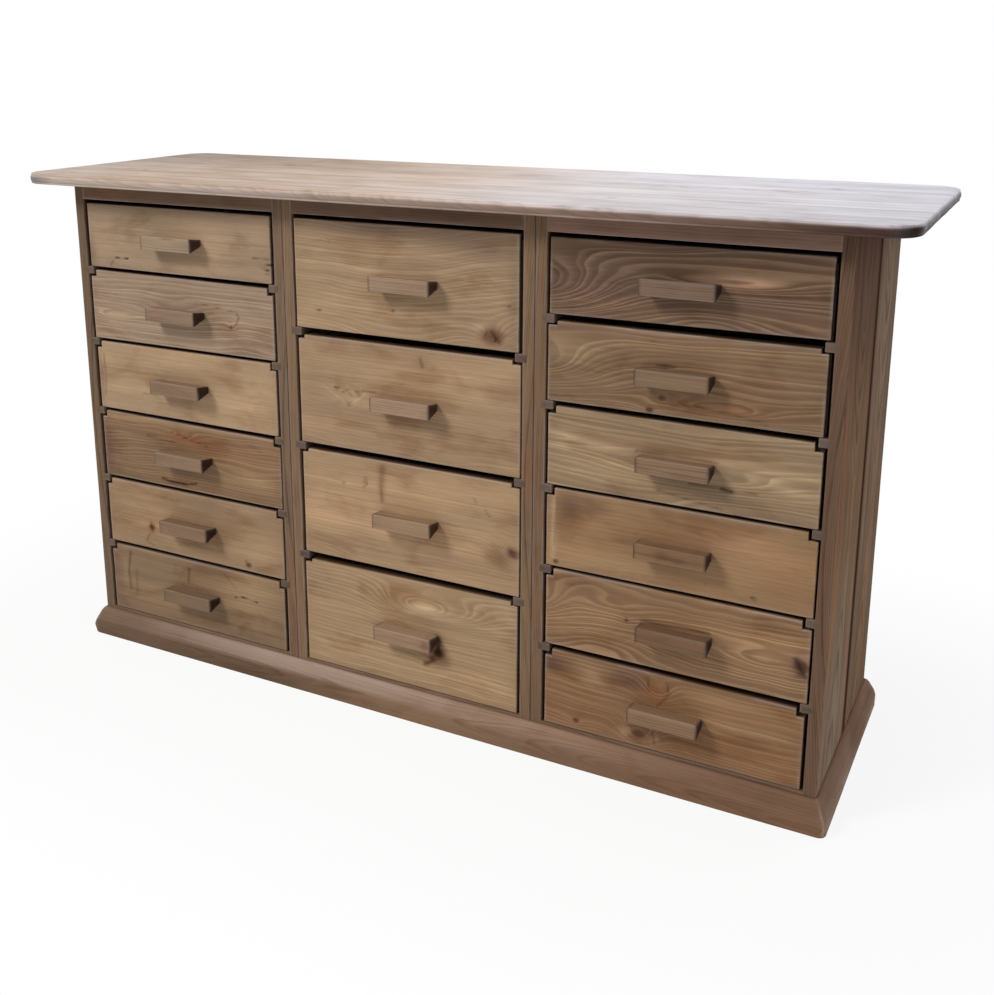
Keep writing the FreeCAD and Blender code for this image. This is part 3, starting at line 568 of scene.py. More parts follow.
FRONTS = {
    ("left", 1): timber(
        shade(155, 132, 108), shade(141, 116, 92), 0.38, 5.0, ((0, -300, 60),),
        knots=((-60, 38, 3, 1.0, 0.18), (-18, 48, 2, 0.6, 0.12)),
        marks=((-146, -37, -132, -40, 1.3, 1), (-132, -40, -114, -38, 1, 0.98),
               (-150, -44, -158, -54, 1.6, 0.42), (192, -15, 206, -15, 1, 0.84),
               (194, -24, 208, -26, 1.1, 1), (190, -33, 208, -37, 1.1, 0.98),
               (168, -16, 190, -15, 0.8, 0.56), (196, -42, 208, -43, 0.9, 0.7)),
        patches=((-70, 42, 50, 16, MOSS, 0.55), (-104, 2, 12, 12, DARK, 0.22),
                 (-205, -35, 14, 30, DUSK, 0.55), (60, -10, 120, 40, PALE, 0.18),
                 # The DUSK band along the top edge is painted shade under the top board's overhang.
                 (-140, -12, 60, 24, PALE, 0.18), (0, 62, 230, 12, DUSK, 0.45))),
    ("left", 2): timber(
        shade(149, 126, 105), shade(180, 157, 134), 0.78, 7.2, ((0, -260, 90),),
        figures=((-152, -18, 62, 9, 2.2), (-10, 2, 74, 26, 2.6), (150, -30, 60, 26, -1.6),
                 (-190, 40, 90, 24, 0.8)),
        knots=((115, -13, 3.0, 2.4, 1),),
        marks=((128, 14, 134, 6, 1.5, 0.56), (134, 6, 126, -8, 1.4, 0.56), (40, 24, 128, 14, 0.9, 0.42)),
        patches=((-150, -18, 44, 6, PALE, 0.45), (120, -14, 14, 10, RUST, 0.3),
                 (150, -48, 60, 14, DUSK, 0.3), (-80, 12, 24, 12, DUSK, 0.22))),
    ("left", 3): timber(
        shade(170, 143, 113), shade(156, 128, 98), 0.28, 5.5, ((0, 340, 60),),
        figures=((-60, 0, 160, 40, 1.4),),
        marks=((-193, 40, -190, 5, 1.8, 0.39), (-190, 5, -195, -40, 1.8, 0.31),
               (-100, -26, -66, -27, 1.1, 0.31)),
        patches=((-95, 54, 20, 10, ROSE, 0.4), (92, 26, 26, 16, ROSE, 0.35), (-205, 0, 10, 60, DUSK, 0.4),
                 (-150, 30, 60, 26, MOSS, 0.15), (120, -30, 70, 26, PALE, 0.2))),
    ("left", 4): timber(
        shade(125, 98, 74), shade(157, 129, 96), 0.69, 6.4, ((0, -300, 90),),
        figures=((-230, 0, 150, 42, 3.4), (130, -18, 70, 16, 2.6), (-10, 36, 90, 12, 1.8)),
        knots=((-8, 40, 4.5, 1.4, 0.42),),
        marks=((-68, -51, -48, -55, 2.1, 0.98), (-48, -55, -10, -54, 2.8, 1),
               (-10, -54, 14, -49, 1.8, 0.91), (-100, 28, -30, 24, 1.3, 0.49), (-40, 44, 0, 36, 1.1, 0.56),
               (0, 36, 50, 26, 1, 0.42)),
        patches=((-200, -10, 18, 66, PLUM, 0.5), (-8, 36, 60, 12, RUST, 0.55), (80, 24, 90, 20, RUST, 0.22),
                 (-30, -52, 46, 8, RUST, 0.35), (150, -20, 46, 10, PALE, 0.22))),
    ("left", 5): timber(
        shade(151, 124, 96), shade(137, 109, 80), 0.38, 6.0, ((0, -300, 60),),
        figures=((-60, -44, 60, 16, 1.6), (120, 52, 60, 9, 1.2)),
        knots=((-102, -20, 5.5, 1.8, 0.96), (127, -52, 5, 1.8, 0.96), (122, -46, 3, 1, 0.48)),
        marks=((-104, -12, -101, -28, 3, 0.49), (-108, -34, -118, -50, 1.6, 0.42),
               (-118, -50, -100, -58, 1.4, 0.31)),
        patches=((-102, -20, 14, 16, RUST, 0.5), (-48, -44, 26, 10, PALE, 0.35),
                 (150, -20, 50, 34, PALE, 0.3), (120, 54, 44, 6, CREAM, 0.3), (40, 50, 34, 14, DUSK, 0.22),
                 (-170, 10, 50, 40, MOSS, 0.22))),
    ("left", 6): timber(
        shade(135, 110, 84), shade(119, 93, 68), 0.44, 6.0, ((0, 300, 60),),
        figures=((-15, 46, 26, 24, 1.6),),
        knots=((-14, 50, 4, 1.2, 0.36),),
        marks=((-160, 58, -168, 20, 2.5, 0.48), (-168, 20, -166, -20, 2.5, 0.5),
               (-148, 20, -150, -30, 3, 0.25), (94, 16, 112, 19, 1, 1), (112, 19, 146, 16, 1, 1),
               (70, 58, 96, 34, 1.8, 0.31), (-14, 50, -18, 22, 2.3, 0.42), (-48, 52, -50, 34, 1.8, 0.2)),
        patches=((-176, 20, 8, 44, PALE, 0.15), (140, 20, 70, 50, PALE, 0.28), (-200, 0, 20, 60, DUSK, 0.3),
                 (0, -58, 220, 14, DUSK, 0.3), (-100, 40, 40, 20, MOSS, 0.2))),
    ("centre", 1): timber(
        shade(153, 128, 100), shade(182, 155, 124), 0.62, 6.2,
        ((-220, -330, 60), (0, -345, 60), (220, -300, 60)),
        figures=((10, -108, 120, 40, 3.4), (-40, 86, 190, 18, 1.2)),
        knots=((162, -70, 14, 7.0, 0.6), (-161, -60, 2.4, 0.6, 0.72), (-17, -47, 2.4, 0.6, 0.84),
               (-137, 58, 2.5, 0.4, 0.24), (192, -20, 2, 0.3, 0.6)),
        marks=((161, -64, 176, -80, 2.1, 0.77), (168, -78, 166, -66, 1.8, 0.7),
               (152, -66, 150, -76, 1.8, 0.42), (-168, -60, -152, -61, 0.9, 0.49)),
        # The first DUSK patch, a band along the top edge, is painted shade under the top board's overhang.
        patches=((-20, 84, 150, 15, DUSK, 0.72), (150, 66, 80, 26, DUSK, 0.55),
                 (162, -70, 20, 16, RUST, 0.62), (172, -74, 10, 9, DARK, 0.5),
                 (146, -58, 18, 9, CREAM, 0.4), (-150, -30, 60, 30, PALE, 0.15),
                 (200, 0, 12, 90, DUSK, 0.3), (130, -45, 40, 12, DUSK, 0.25))),
    ("centre", 2): timber(
        shade(161, 133, 104), shade(178, 151, 120), 0.53, 6.0, ((0, -330, 60),),
        figures=((80, -110, 120, 34, 3.0), (-120, -96, 100, 24, 1.6), (-112, -4, 34, 20, 2.6)),
        knots=((-134, 9, 4, 2.4, 0.36), (-114, -2, 5, 3.0, 0), (-107, -14, 4, 2.6, 0.24),
               (-90, 4, 4, 2.4, 0.36)),
        marks=((-138, 12, -128, 12, 1.3, 0.63), (-122, 4, -112, 8, 1.1, 0.49),
               (-112, 8, -104, -2, 1.1, 0.42), (-118, -8, -108, -20, 1.1, 0.49),
               (-98, 8, -84, 10, 1.3, 0.49), (-84, 10, -56, 12, 1.4, 0.42), (30, 80, 34, 66, 2.8, 0.42)),
        patches=((-112, -4, 32, 18, CREAM, 0.35), (-60, 12, 40, 7, RUST, 0.35), (34, 74, 22, 14, DUSK, 0.3),
                 (-175, 0, 34, 60, DUSK, 0.16), (130, 0, 70, 14, DUSK, 0.16))),
    ("centre", 3): timber(
        shade(168, 138, 107), shade(189, 161, 125), 0.45, 6.0, ((0, -320, 60),),
        figures=((-90, -96, 110, 30, 3.2), (60, -90, 90, 20, 1.6), (200, -24, 40, 30, 2.4)),
        knots=((198, -22, 9, 3.2, 0.79), (0, 60, 6, 1.6, 0.12), (-84, 54, 3, 0.8, 0.36),
               (-125, 45, 2.4, 0.6, 0.42)),
        marks=((-46, 86, -50, 50, 5.8, 0.31), (-50, 50, -48, 26, 3.9, 0.42), (-80, 62, -78, 50, 1.8, 0.49),
               (-78, 50, -86, 44, 1.6, 0.42), (128, 60, 132, 52, 1.8, 0.28), (148, 44, 156, 34, 1.8, 0.35),
               (192, -16, 204, -30, 3.4, 0.31)),
        patches=((-48, 62, 9, 36, RUST, 0.3), (0, 60, 18, 14, DUSK, 0.18), (178, -34, 26, 16, DUSK, 0.45),
                 (-100, -70, 90, 14, CREAM, 0.2), (-90, 4, 14, 6, DARK, 0.22), (70, 4, 30, 9, DUSK, 0.25),
                 (0, -60, 200, 20, DUSK, 0.16))),
    ("centre", 4): timber(
        shade(161, 133, 102), shade(196, 169, 133), 0.55, 8.0, ((0, -340, 60),),
        figures=((36, 50, 88, 29, 8.0), (150, 60, 60, 20, 1.2)),
        knots=((60, -26, 9, 1.4, 1), (50, -38, 6, 0.8, 0.96), (38, -50, 5, 1.0, 0.36)),
        marks=((60, 0, 61, -25, 8.6, 0.92), (48, -44, 34, -52, 3.4, 0.56)),
        patches=((34, 50, 46, 15, CREAM, 0.5), (190, 62, 26, 20, CREAM, 0.35),
                 (54, -36, 22, 20, RUST, 0.55), (34, 30, 60, 12, DUSK, 0.28), (0, 2, 90, 7, DUSK, 0.3),
                 (-160, 60, 60, 30, DUSK, 0.12), (-20, -80, 160, 20, PALE, 0.12))),
    ("right", 1): timber(
        shade(94, 72, 55), shade(133, 108, 85), 0.98, 8.6, ((0, -260, 60),),
        figures=((-232, -14, 118, 48, 11.5), (70, 8, 110, 13, 3.0), (-40, 64, 90, 22, 2.4),
                 (40, -54, 70, 20, -2.2), (210, -52, 90, 20, 1.4)),
        patches=((96, 10, 44, 8, ROSE, 0.5), (-60, 24, 50, 12, PLUM, 0.35), (130, -14, 70, 14, PLUM, 0.4),
                 (-150, -10, 90, 46, PLUM, 0.35), (60, -40, 200, 20, ROSE, 0.12))),
    ("right", 2): timber(
        shade(123, 97, 74), shade(153, 126, 96), 0.9, 8.0, ((0, -280, 60),),
        figures=((-236, -6, 122, 46, 9.5), (60, -44, 90, 13, 4.2), (150, -16, 90, 26, 1.2),
                 (-40, 60, 150, 24, 1.8)),
        knots=((-26, -36, 3, 1.4, 1), (-44, -57, 4.5, 2.0, 1), (-22, 12, 5, 0.6, 0.3)),
        marks=((-10, -44, 40, -42, 1.4, 0.49), (40, -42, 130, -54, 1.4, 0.42),
               (-34, 12, -8, 13, 2.1, 0.49)),
        patches=((-175, 20, 44, 18, PALE, 0.25), (60, -42, 80, 12, RUST, 0.35), (-20, 12, 26, 5, DARK, 0.3),
                 (-30, 54, 200, 8, DUSK, 0.3))),
    ("right", 3): timber(
        shade(146, 122, 95), shade(183, 157, 121), 0.72, 10.0,
        ((-220, -240, 60), (0, -254, 60), (220, -230, 60)),
        figures=((30, -14, 130, 16, 2.8), (-210, 14, 90, 12, 1.8), (110, -58, 110, 16, -2.0)),
        marks=((-64, 12, -20, 14, 2.3, 0.42), (-20, 14, 60, 11, 1.8, 0.35), (20, -26, 70, -24, 2.5, 0.49),
               (68, -26, 84, -28, 2.8, 0.91), (84, -28, 120, -25, 1.6, 0.42),
               (-30, -44, 70, -58, 1.6, 0.42), (90, -64, 160, -66, 1.6, 0.49)),
        patches=((-140, 14, 70, 7, CREAM, 0.45, -8), (-190, 2, 26, 4, CREAM, 0.45),
                 (110, 14, 90, 6, CREAM, 0.35), (20, 20, 120, 9, RUST, 0.28),
                 (50, -40, 110, 16, PLUM, 0.36, -8), (-100, -24, 90, 20, PALE, 0.3),
                 (150, -8, 70, 9, CREAM, 0.35, -10), (0, 44, 220, 8, DUSK, 0.25))),
    ("right", 4): timber(
        shade(150, 118, 86), shade(166, 134, 100), 0.38, 7.0, ((0, -300, 60),),
        figures=((-120, -40, 60, 30, 1.4), (120, 30, 80, 24, 1.2)),
        knots=((-193, -57, 4, 1.4, 0.9), (50, -44, 2, 0.3, 0.36), (122, -52, 3, 0.6, 0.36)),
        marks=((-192, 50, -196, -30, 2.3, 0.22), (120, -50, 126, -54, 1.8, 0.49)),
        patches=((-170, 36, 24, 26, DARK, 0.8), (-150, 44, 60, 14, DUSK, 0.5), (-198, 4, 5, 60, CREAM, 0.5),
                 (-82, -2, 16, 8, DARK, 0.35), (90, 30, 60, 26, ROSE, 0.28), (170, -20, 40, 40, RUST, 0.16),
                 (-100, -45, 70, 14, PALE, 0.25), (100, -36, 60, 16, MOSS, 0.16),
                 (20, 24, 120, 8, RUST, 0.18))),
    ("right", 5): timber(
        shade(139, 107, 79), shade(178, 144, 107), 1, 8.4, ((0, -280, 60),),
        figures=((-232, 6, 62, 40, 7.0), (-90, 22, 60, 20, 3.2), (-110, -44, 80, 24, -3.4),
                 (140, -12, 74, 18, 4.4), (70, 40, 120, 22, 1.8)),
        knots=((-72, 5, 2.8, 1.6, 1), (198, -8, 8, 2.2, 1), (196, -20, 4, 0.6, 0.6)),
        marks=((-50, 8, 60, 13, 1.4, 0.56), (190, 2, 204, -22, 3.9, 0.7)),
        patches=((0, 12, 60, 3, DARK, 0.35), (198, -8, 14, 20, PLUM, 0.8), (-60, 0, 30, 14, PLUM, 0.25),
                 (-150, 50, 90, 10, DUSK, 0.2), (-20, -52, 160, 12, DUSK, 0.18))),
    ("right", 6): timber(
        shade(132, 99, 71), shade(162, 126, 91), 0.72, 8.0, ((0, -280, 60),),
        figures=((-45, -46, 34, 26, 3.6), (-18, 34, 30, 26, 3.0), (130, -20, 130, 30, 1.6)),
        knots=((-45, -44, 8, 2.4, 1), (-152, -50, 4, 1.2, 1), (-6, 46, 3, 1.0, 0.24)),
        marks=((-34, 58, -30, 34, 1.8, 0.42), (-2, 56, 2, 36, 1.6, 0.49), (2, 36, -16, 12, 1.6, 0.42),
               (-64, -34, -38, -30, 2.1, 0.49), (-22, -36, -18, -56, 2.1, 0.49),
               (-62, -52, -40, -60, 1.8, 0.42)),
        patches=((-62, 44, 34, 14, PLUM, 0.62), (-20, 36, 20, 22, RUST, 0.5), (-195, 44, 26, 14, PLUM, 0.6),
                 (-128, 38, 26, 20, PALE, 0.35), (-68, -46, 9, 10, PALE, 0.35),
                 (-18, -44, 6, 12, PALE, 0.3), (-45, -44, 18, 10, DARK, 0.4), (120, 10, 100, 7, PALE, 0.2),
                 (60, -34, 140, 8, RUST, 0.18), (80, 46, 60, 10, PALE, 0.2))),
}


NOTCH_WIDTH, NOTCH_GAP = 13.5 * MM, 5 * MM  # a notch's width, and the clearance under the runner in it
NOTCH_STEP = 0.3 * MM  # width over which the top drops into a notch
NOTCH_FADE = 60 * MM  # height over which that drop fades out downwards
END_RUN = 8 * MM  # width over which a front's end is drawn in
PROUD = 0.2 * MM  # how far the looks stand proud of a packed face that would show through them
FRONT_PAINTED_SHADE = ((1.2 * MM, 1, 1, 1), (2.6 * MM, 0.17, 0.11, 0.085))  # painted shade by the depth behind the face, standing in for the shadow in the gaps
# How a front strays from square, in mm: its lower edge at the left and right, its upper edge likewise, and
# how far its left and right ends are drawn in.
TRIM = {
    ("left", 1): (0, 0, 0, 0, 2, 2.5), ("left", 2): (0, 1, 0.5, -1.3, 0, 1.5),
    ("left", 3): (0, 0, 0.7, 2, 2, 1.5), ("left", 4): (0, 0, 1, -1.5, 2, -1.5),
    ("left", 5): (0, 0, 0, 0, 2, 0), ("left", 6): (0, 0, 0, 0, 1, 2.5),
    ("centre", 1): (0, 0, 0, 0, -1.2, 2.5), ("centre", 2): (0, 0, 0, 0, 0.5, -1.5),
    ("centre", 3): (0, 0, 1, 1.5, 1, -1.5), ("centre", 4): (0, 0, -1.5, 1.7, -1.2, 1),
    ("right", 1): (0, 2.5, 0, 0, 0, 2), ("right", 2): (0, 0, 2.5, 2, -2, 2.5),
    ("right", 3): (0, 0, -1, -2.5, 0, 0.5), ("right", 4): (0, 0, 1.6, 1.2, -0.5, -1.5),
    ("right", 5): (0, 0, 1.8, 0, 0.5, -1), ("right", 6): (0, 0, -1.5, -4, 0.8, 0.8),
}


def notched(points, low, high, inner, drop, trim):
    """A front's points with the top lowered by the drop beyond the notches' inner faces, fading out below,
    the lower and upper edge slanted by the trim at their left and right, and the two ends drawn in."""
    foot, head, inset = np.reshape(trim, (3, 2)) * MM
    share, _, up = ((points - low) / (high - low)).T
    side = points[:, 0] - (low[0] + high[0]) / 2
    beyond = np.clip((np.abs(side) - inner) / NOTCH_STEP, 0, 1)
    fade = np.clip((points[:, 2] - (high[2] - NOTCH_FADE)) / NOTCH_FADE, 0, 1)
    outmost = np.clip((np.abs(side) - inner - NOTCH_STEP) / END_RUN, 0, 1)
    points = points.copy()
    points[:, 0] -= np.sign(side) * outmost * np.where(side < 0, inset[0], inset[1])
    points[:, 2] += (1 - up) * (foot[0] + share * (foot[1] - foot[0]))
    points[:, 2] += up * (head[0] + share * (head[1] - head[0])) - drop * beyond * fade
    return points


class CABINET_OT_fronts(CabinetOperator, bpy.types.Operator):
    """Build the sixteen drawer fronts, each notched round the runners over it"""
    bl_idname = "cabinet.fronts"
    bl_label = "Drawer fronts"

    def execute(self, context):
        s = sizes()
        made = wood("drawer_pine", fibre=0.52, blotch=0.42, stripes=0.26)
        for index, (column, number) in enumerate(drawers()):
            node = f"drawer_{column}_{number}_front"
            low, high = packed(node)
            low[0] -= PROUD
            high[0] += PROUD
            cut = dict(FRONTS[column, number], seed=index + 11)
            over = runner_tops(column)[number - 2] - RUNNER_END[1] if number > 1 else math.inf
            drop = max(0, high[2] - (over - NOTCH_GAP))
            middle = (low[0] + high[0]) / 2
            inner = high[0] - NOTCH_WIDTH - middle
            at_notch = [middle + sign * (inner + add) for sign in (-1, 1) for add in (0, NOTCH_STEP)]
            part = block(low, high, cut, (s.mesh_step, 6 * MM, s.mesh_step), s.front_arris,
                         (at_notch if drop else (), (), ()), s.wander,
                         lambda points: notched(points, low, high, inner, drop, TRIM[column, number]))
            # Painted shade on every face of the front behind its face, as if shadowed in the gaps.
            tinted(part, part[0][:, 1] - low[1], FRONT_PAINTED_SHADE)
            piece(node + "_board", f"drawer_{column}_{number}", [part], made, [node])
        return {"FINISHED"}


# Pulls --------------------------------------------------------

# The pulls' early wood, from the top one down.
PULLS = {
    "left": ((153, 132, 110), (145, 120, 100), (139, 114, 91), (143, 118, 94), (139, 112, 88),
             (129, 105, 82)),
    "centre": ((160, 134, 110), (163, 135, 111), (159, 131, 103), (170, 141, 115)),
    "right": ((128, 104, 88), (131, 107, 84), (141, 114, 91), (138, 106, 77), (123, 94, 71), (148, 118, 91)),
}
# A pull's height in front, and how far its top falls and its underside rises towards the drawer.
PULL_HEIGHT, TOP_FALL, UNDER_RISE = 26 * MM, 5 * MM, 9 * MM
PULL_STAINS = {
    ("right", 4): ((-12, 0, 13, 9, DARK, 0.6), (14, -3, 12, 8, DARK, 0.45), (40, 2, 8, 9, DUSK, 0.3)),
    ("right", 5): ((-20, 2, 26, 6, DARK, 0.35),), ("left", 2): ((-30, 4, 20, 5, ROSE, 0.35),),
    ("centre", 4): ((46, 0, 8, 9, DARK, 0.5),), ("left", 6): ((20, -2, 26, 6, MOSS, 0.4),),
}
LET_IN = 0.6 * MM  # how far a pull reaches into its front
# How a pull's colours darken by the distance from its nearer end: darker end grain, deepened with painted
# shade.
PULL_END_SHADE = ((0, 0.15, 0.085, 0.065), (1.2 * MM, 0.17, 0.10, 0.08), (2.6 * MM, 1, 1, 1))
# The screws' heads behind a front, and where they stand from the pull's middle and under its top.
HEAD_RADIUS, HEAD_HEIGHT, HEAD_EDGE = 4 * MM, 2.6 * MM, 1.2 * MM
SCREW_FROM_MIDDLE, SCREW_UNDER_TOP = 32 * MM, 11 * MM


def wedge(points, low, high):
    """A pull's points with the height squeezed in step with the depth: the top falls and the underside
    rises."""
    back, up = ((points - low) / (high - low)).T[1:]
    points = points.copy()
    points[:, 2] = low[2] + UNDER_RISE * back + up * (PULL_HEIGHT - (TOP_FALL + UNDER_RISE) * back)
    return points


def screw_head(x, y, z):
    """A disc with a rounded rim that stands from y towards +Y: a square slab whose corners round until they
    meet, with its height turned to lie along Y."""
    low = np.array([x - HEAD_RADIUS, z - HEAD_RADIUS, 0])
    high = np.array([x + HEAD_RADIUS, z + HEAD_RADIUS, HEAD_HEIGHT])
    raw, quads = lattice(*(np.linspace(low[i], high[i], count) for i, count in enumerate((13, 13, 5))))
    across, upwards, out = cornered(raw, low, high, HEAD_RADIUS - 0.001 * MM, HEAD_EDGE).T
    return np.stack([across, y + out, upwards], 1), quads[:, ::-1], {}


class CABINET_OT_pulls(CabinetOperator, bpy.types.Operator):
    """Build the sixteen wedge-shaped pulls and the heads of the screws that hold them"""
    bl_idname = "cabinet.pulls"
    bl_label = "Pulls"

    def execute(self, context):
        s = sizes()
        made, metal = wood("pull_pine", fibre=0.36), steel()
        for index, (column, number) in enumerate(drawers()):
            node = f"drawer_{column}_{number}_pull"
            body = f"drawer_{column}_{number}"
            low, high = packed(node)
            front = packed(f"drawer_{column}_{number}_front")[0][1]
            low[2] = high[2] - PULL_HEIGHT
            high[1] = front + LET_IN
            dice = np.random.default_rng(index + 400)
            tone = np.array(shade(*PULLS[column][number - 1]))
            cut = timber(tone, 0.55 * tone, 0.7, dice.uniform(2.2, 4),
                         ((0, dice.uniform(-60, 60), dice.uniform(10, 60)),),
                         patches=PULL_STAINS.get((column, number), ()), seed=index + 60, wear=0.5)
            part = block(low, high, cut, (3.5 * MM, 3 * MM, 2.6 * MM), s.pull_arris, wander=0.5 * s.wander,
                         shape=lambda points: wedge(points, low, high))
            from_end = np.minimum(part[0][:, 0] - low[0], high[0] - part[0][:, 0])
            # Darker end grain with painted shade on both ends of the pull.
            tinted(part, from_end, PULL_END_SHADE)
            piece(node + "_handle", body, [part], made, [node])
            heads = [screw_head((low[0] + high[0]) / 2 + sign * SCREW_FROM_MIDDLE, front + THICK - 0.1 * MM,
                                high[2] - SCREW_UNDER_TOP) for sign in (-1, 1)]
            piece(node + "_screw_heads", body, heads, metal)
        return {"FINISHED"}


# Carcass ------------------------------------------------------

# Heights over a runner's top at which the front planks have further points.
NEAR_RUNNER = np.array((-17, -14.6, -13.4, -7, -0.6, 0.6, 2)) * MM
# How the colours of the outer sides' front and rear planks change with the height in m: painted shade makes
# the front plank darker towards the top, under the top board's overhang, and lighter towards the floor.
SIDE_PAINTED_SHADE = (((0.15, 1.87, 2.14, 2.62), (0.30, 1.84, 2.01, 2.12), (0.45, 1.78, 1.76, 1.75),
              (0.60, 1.62, 1.59, 1.54), (0.75, 1.16, 1.11, 1.21), (0.86, 1.09, 0.94, 1.09)),
             ((0.05, 1.69, 1.77, 1.80), (0.85, 1.67, 1.86, 2.20)))
# The level of the colours of each upright's strips in front.
FRONT_LEVEL = {"left_side": ((1.23, 1.32, 1.43),), "left_divider": ((1.00, 1.03, 0.98), (1.22, 1.23, 1.11)),
               "right_divider": ((1.15, 1.15, 1.02), (0.97, 0.94, 0.85)), "right_side": ((1.10, 1.06, 1.12),)}
# How the colours darken beside the outer planks' joint and a divider's seam, and, as painted shade, with the
# depth in a bay.
JOINT_SHADE = ((4 * MM, 0.5, 0.33, 0.27), (20 * MM, 1, 1, 1))
SEAM_SHADE = ((0, 0.6, 0.42, 0.32), (1.6 * MM, 1, 1, 1))
BAY_PAINTED_SHADE = ((2 * MM, 1, 1, 1), (4 * MM, 0.6, 0.43, 0.32))
# The long stains of an upright's strip and plank.
STAINS = {
    ("right_side", 0, 0): ((-60, -82, 330, 7, RUST, 0.7), (250, -40, 200, 9, DARK, 0.5),
                           (-250, 20, 240, 12, MOSS, 0.4), (60, 60, 300, 8, DARK, 0.5),
                           (-320, 70, 160, 14, RUST, 0.35)),
    ("right_side", 0, 1): ((0, -40, 400, 10, DARK, 0.45), (-250, 10, 260, 12, RUST, 0.35),
                           (150, 50, 260, 9, DARK, 0.5)),
    ("left_divider", 0, 0): ((-300, -95, 160, 12, RUST, 0.35),),
    ("right_divider", 0, 0): ((40, -95, 60, 12, RUST, 0.4),),
}


def aged(part, low, high, outer, plank, level):
    """An upright's plank with its colours brought to their level in front and darkened with painted shade in
    the bays. An outer one is also darker towards the top with painted shade, and dirty beside its joint, an
    inner one beside the divider's seam; the dirt is a bell curve of the distance."""
    x, y, z = part[0].T
    in_front, in_bay = 1.0, 1.0
    if outer:
        # Painted shade: darker towards the top under the overhang, lighter towards the floor.
        tinted(part, z, SIDE_PAINTED_SHADE[plank], np.clip((y - low[1]) / (3 * MM), 0, 1))
        from_joint = np.abs(y - PLANK_JOINT.mean())
        tinted(part, from_joint, JOINT_SHADE)
        dirt = 0.85 * np.exp(-(from_joint / (9 * MM)) ** 2)
        part[2]["edge"] *= 0.3
        in_front = np.clip((low[1] + 4 * MM - y) / (3 * MM), 0, 1)
        outside = max(low[0], high[0], key=abs)
        in_bay = 1.0 * (np.abs(x - outside) > 2 * MM)
    else:
        from_seam = np.abs(x - (low[0] + high[0]) / 2)
        tinted(part, from_seam, SEAM_SHADE)
        dirt = 0.25 * np.exp(-(from_seam / (1.5 * MM)) ** 2)
    part[2]["dark"] = np.maximum(part[2]["dark"], dirt)
    tinted(part, z, ((0, *level),), in_front)
    # Painted shade on the faces inside a bay, behind the front edge.
    return tinted(part, y - low[1], BAY_PAINTED_SHADE, in_bay)


class CABINET_OT_uprights(CabinetOperator, bpy.types.Operator):
    """Build the outer sides and the double dividers, each of a front and a rear plank"""
    bl_idname = "cabinet.uprights"
    bl_label = "Uprights"

    def execute(self, context):
        s, c = sizes(), colours()
        made = wood("frame_pine", fibre=0.48, blotch=0.26, stripes=0.36)
        sides = wood("side_pine", fibre=0.42, blotch=0.08, stripes=0.42, rough=(0.8, 0.95), sheen=0.03)
        for index, (node, columns) in enumerate(UPRIGHTS.items()):
            low, high = packed(node)
            low[1] -= PROUD
            outer = node.endswith("side")
            lines = np.linspace(low[0], high[0], 2 if outer else 3)
            parts = []
            heights = np.concatenate([runner_tops(column) for column in columns])
            close = np.add.outer(NEAR_RUNNER, heights).ravel()
            planks = (low[1], PLANK_JOINT[0]), (PLANK_JOINT[1], high[1])
            for strip in range(len(lines) - 1):
                for plank, (y0, y1) in enumerate(planks):
                    tone, band = (c.side, c.side_band) if outer else (c.upright, c.upright_band)
                    seed = 100 + index * 10 + strip * 3 + plank
                    pith = ((-450, -30, 150), (0, 20 - 30 * strip, 170), (450, -10, 140))
                    cut = timber(tone, band, 0.75, 3.4, pith, turn="z", seed=seed, wear=0.7,
                                 patches=STAINS.get((node, strip, plank), ()))
                    part = block((lines[strip], y0, low[2]), (lines[strip + 1], y1, high[2]), cut,
                                 (3 * MM, s.upright_step if outer else 9 * MM, s.upright_step), s.arris,
                                 ((), (), close if plank == 0 else ()), s.wander)
                    parts.append(aged(part, low, high, outer, plank, FRONT_LEVEL[node][strip]))
            piece(node + "_planks", BODY, parts, sides if outer else made, [node])
        return {"FINISHED"}


# The level of the rails' colours in each bay, with painted light: the right rail, under less of the top
# board's shadow, is lighter.
RAIL_LIGHT_LEVEL = ((1.19, 1.10, 0.99), (1.12, 1.0, 0.95), (2.04, 1.87, 2.03))
RAIL_ENDS, RAIL_LIFT = 2 * MM, 0.2 * MM  # how far a rail enters the uprights, and how far its foot is lifted


class CABINET_OT_rails(CabinetOperator, bpy.types.Operator):
    """Build the rails under the top, one before and one behind in each bay"""
    bl_idname = "cabinet.rails"
    bl_label = "Rails"

    def execute(self, context):
        s, c = sizes(), colours()
        low, high = packed("top_rails")
        parts = []
        for index, column in enumerate(COLUMNS):
            left, right = bay(column)
            for place, y in enumerate((low[1], high[1] - THICK)):
                patches = ((-150, 0, 40, 20, RUST, 0.3),) if (column, place) == ("left", 0) else ()
                cut = timber(c.rail, c.rail_band, 0.6, 2.6, ((0, 40 - 60 * index, 26),),
                             seed=150 + index * 2 + place, patches=patches)
                part = block((left - RAIL_ENDS, y, low[2] + RAIL_LIFT),
                             (right + RAIL_ENDS, y + THICK, high[2]), cut, (4 * MM, 4 * MM, 3 * MM), s.arris,
                             wander=s.wander)
                # Painted light and shade: each bay's rails at a level of their own.
                parts.append(tinted(part, np.zeros(1), ((0, *RAIL_LIGHT_LEVEL[index]),)))
        made = wood("rail_pine", fibre=0.42, stripes=0.2)
        piece("top_rail_boards", BODY, parts, made, ["top_rails"])
        return {"FINISHED"}


RUNNER_PROUD = 0.5 * MM  # how far a runner's end stands proud of its upright's front edge
# Painted shade where a runner enters its upright: its colours darken by how far it stands out there.
HOUSING_PAINTED_SHADE = ((-0.6 * MM, 0.86, 0.84, 0.74), (0.6 * MM, 1, 1, 1))


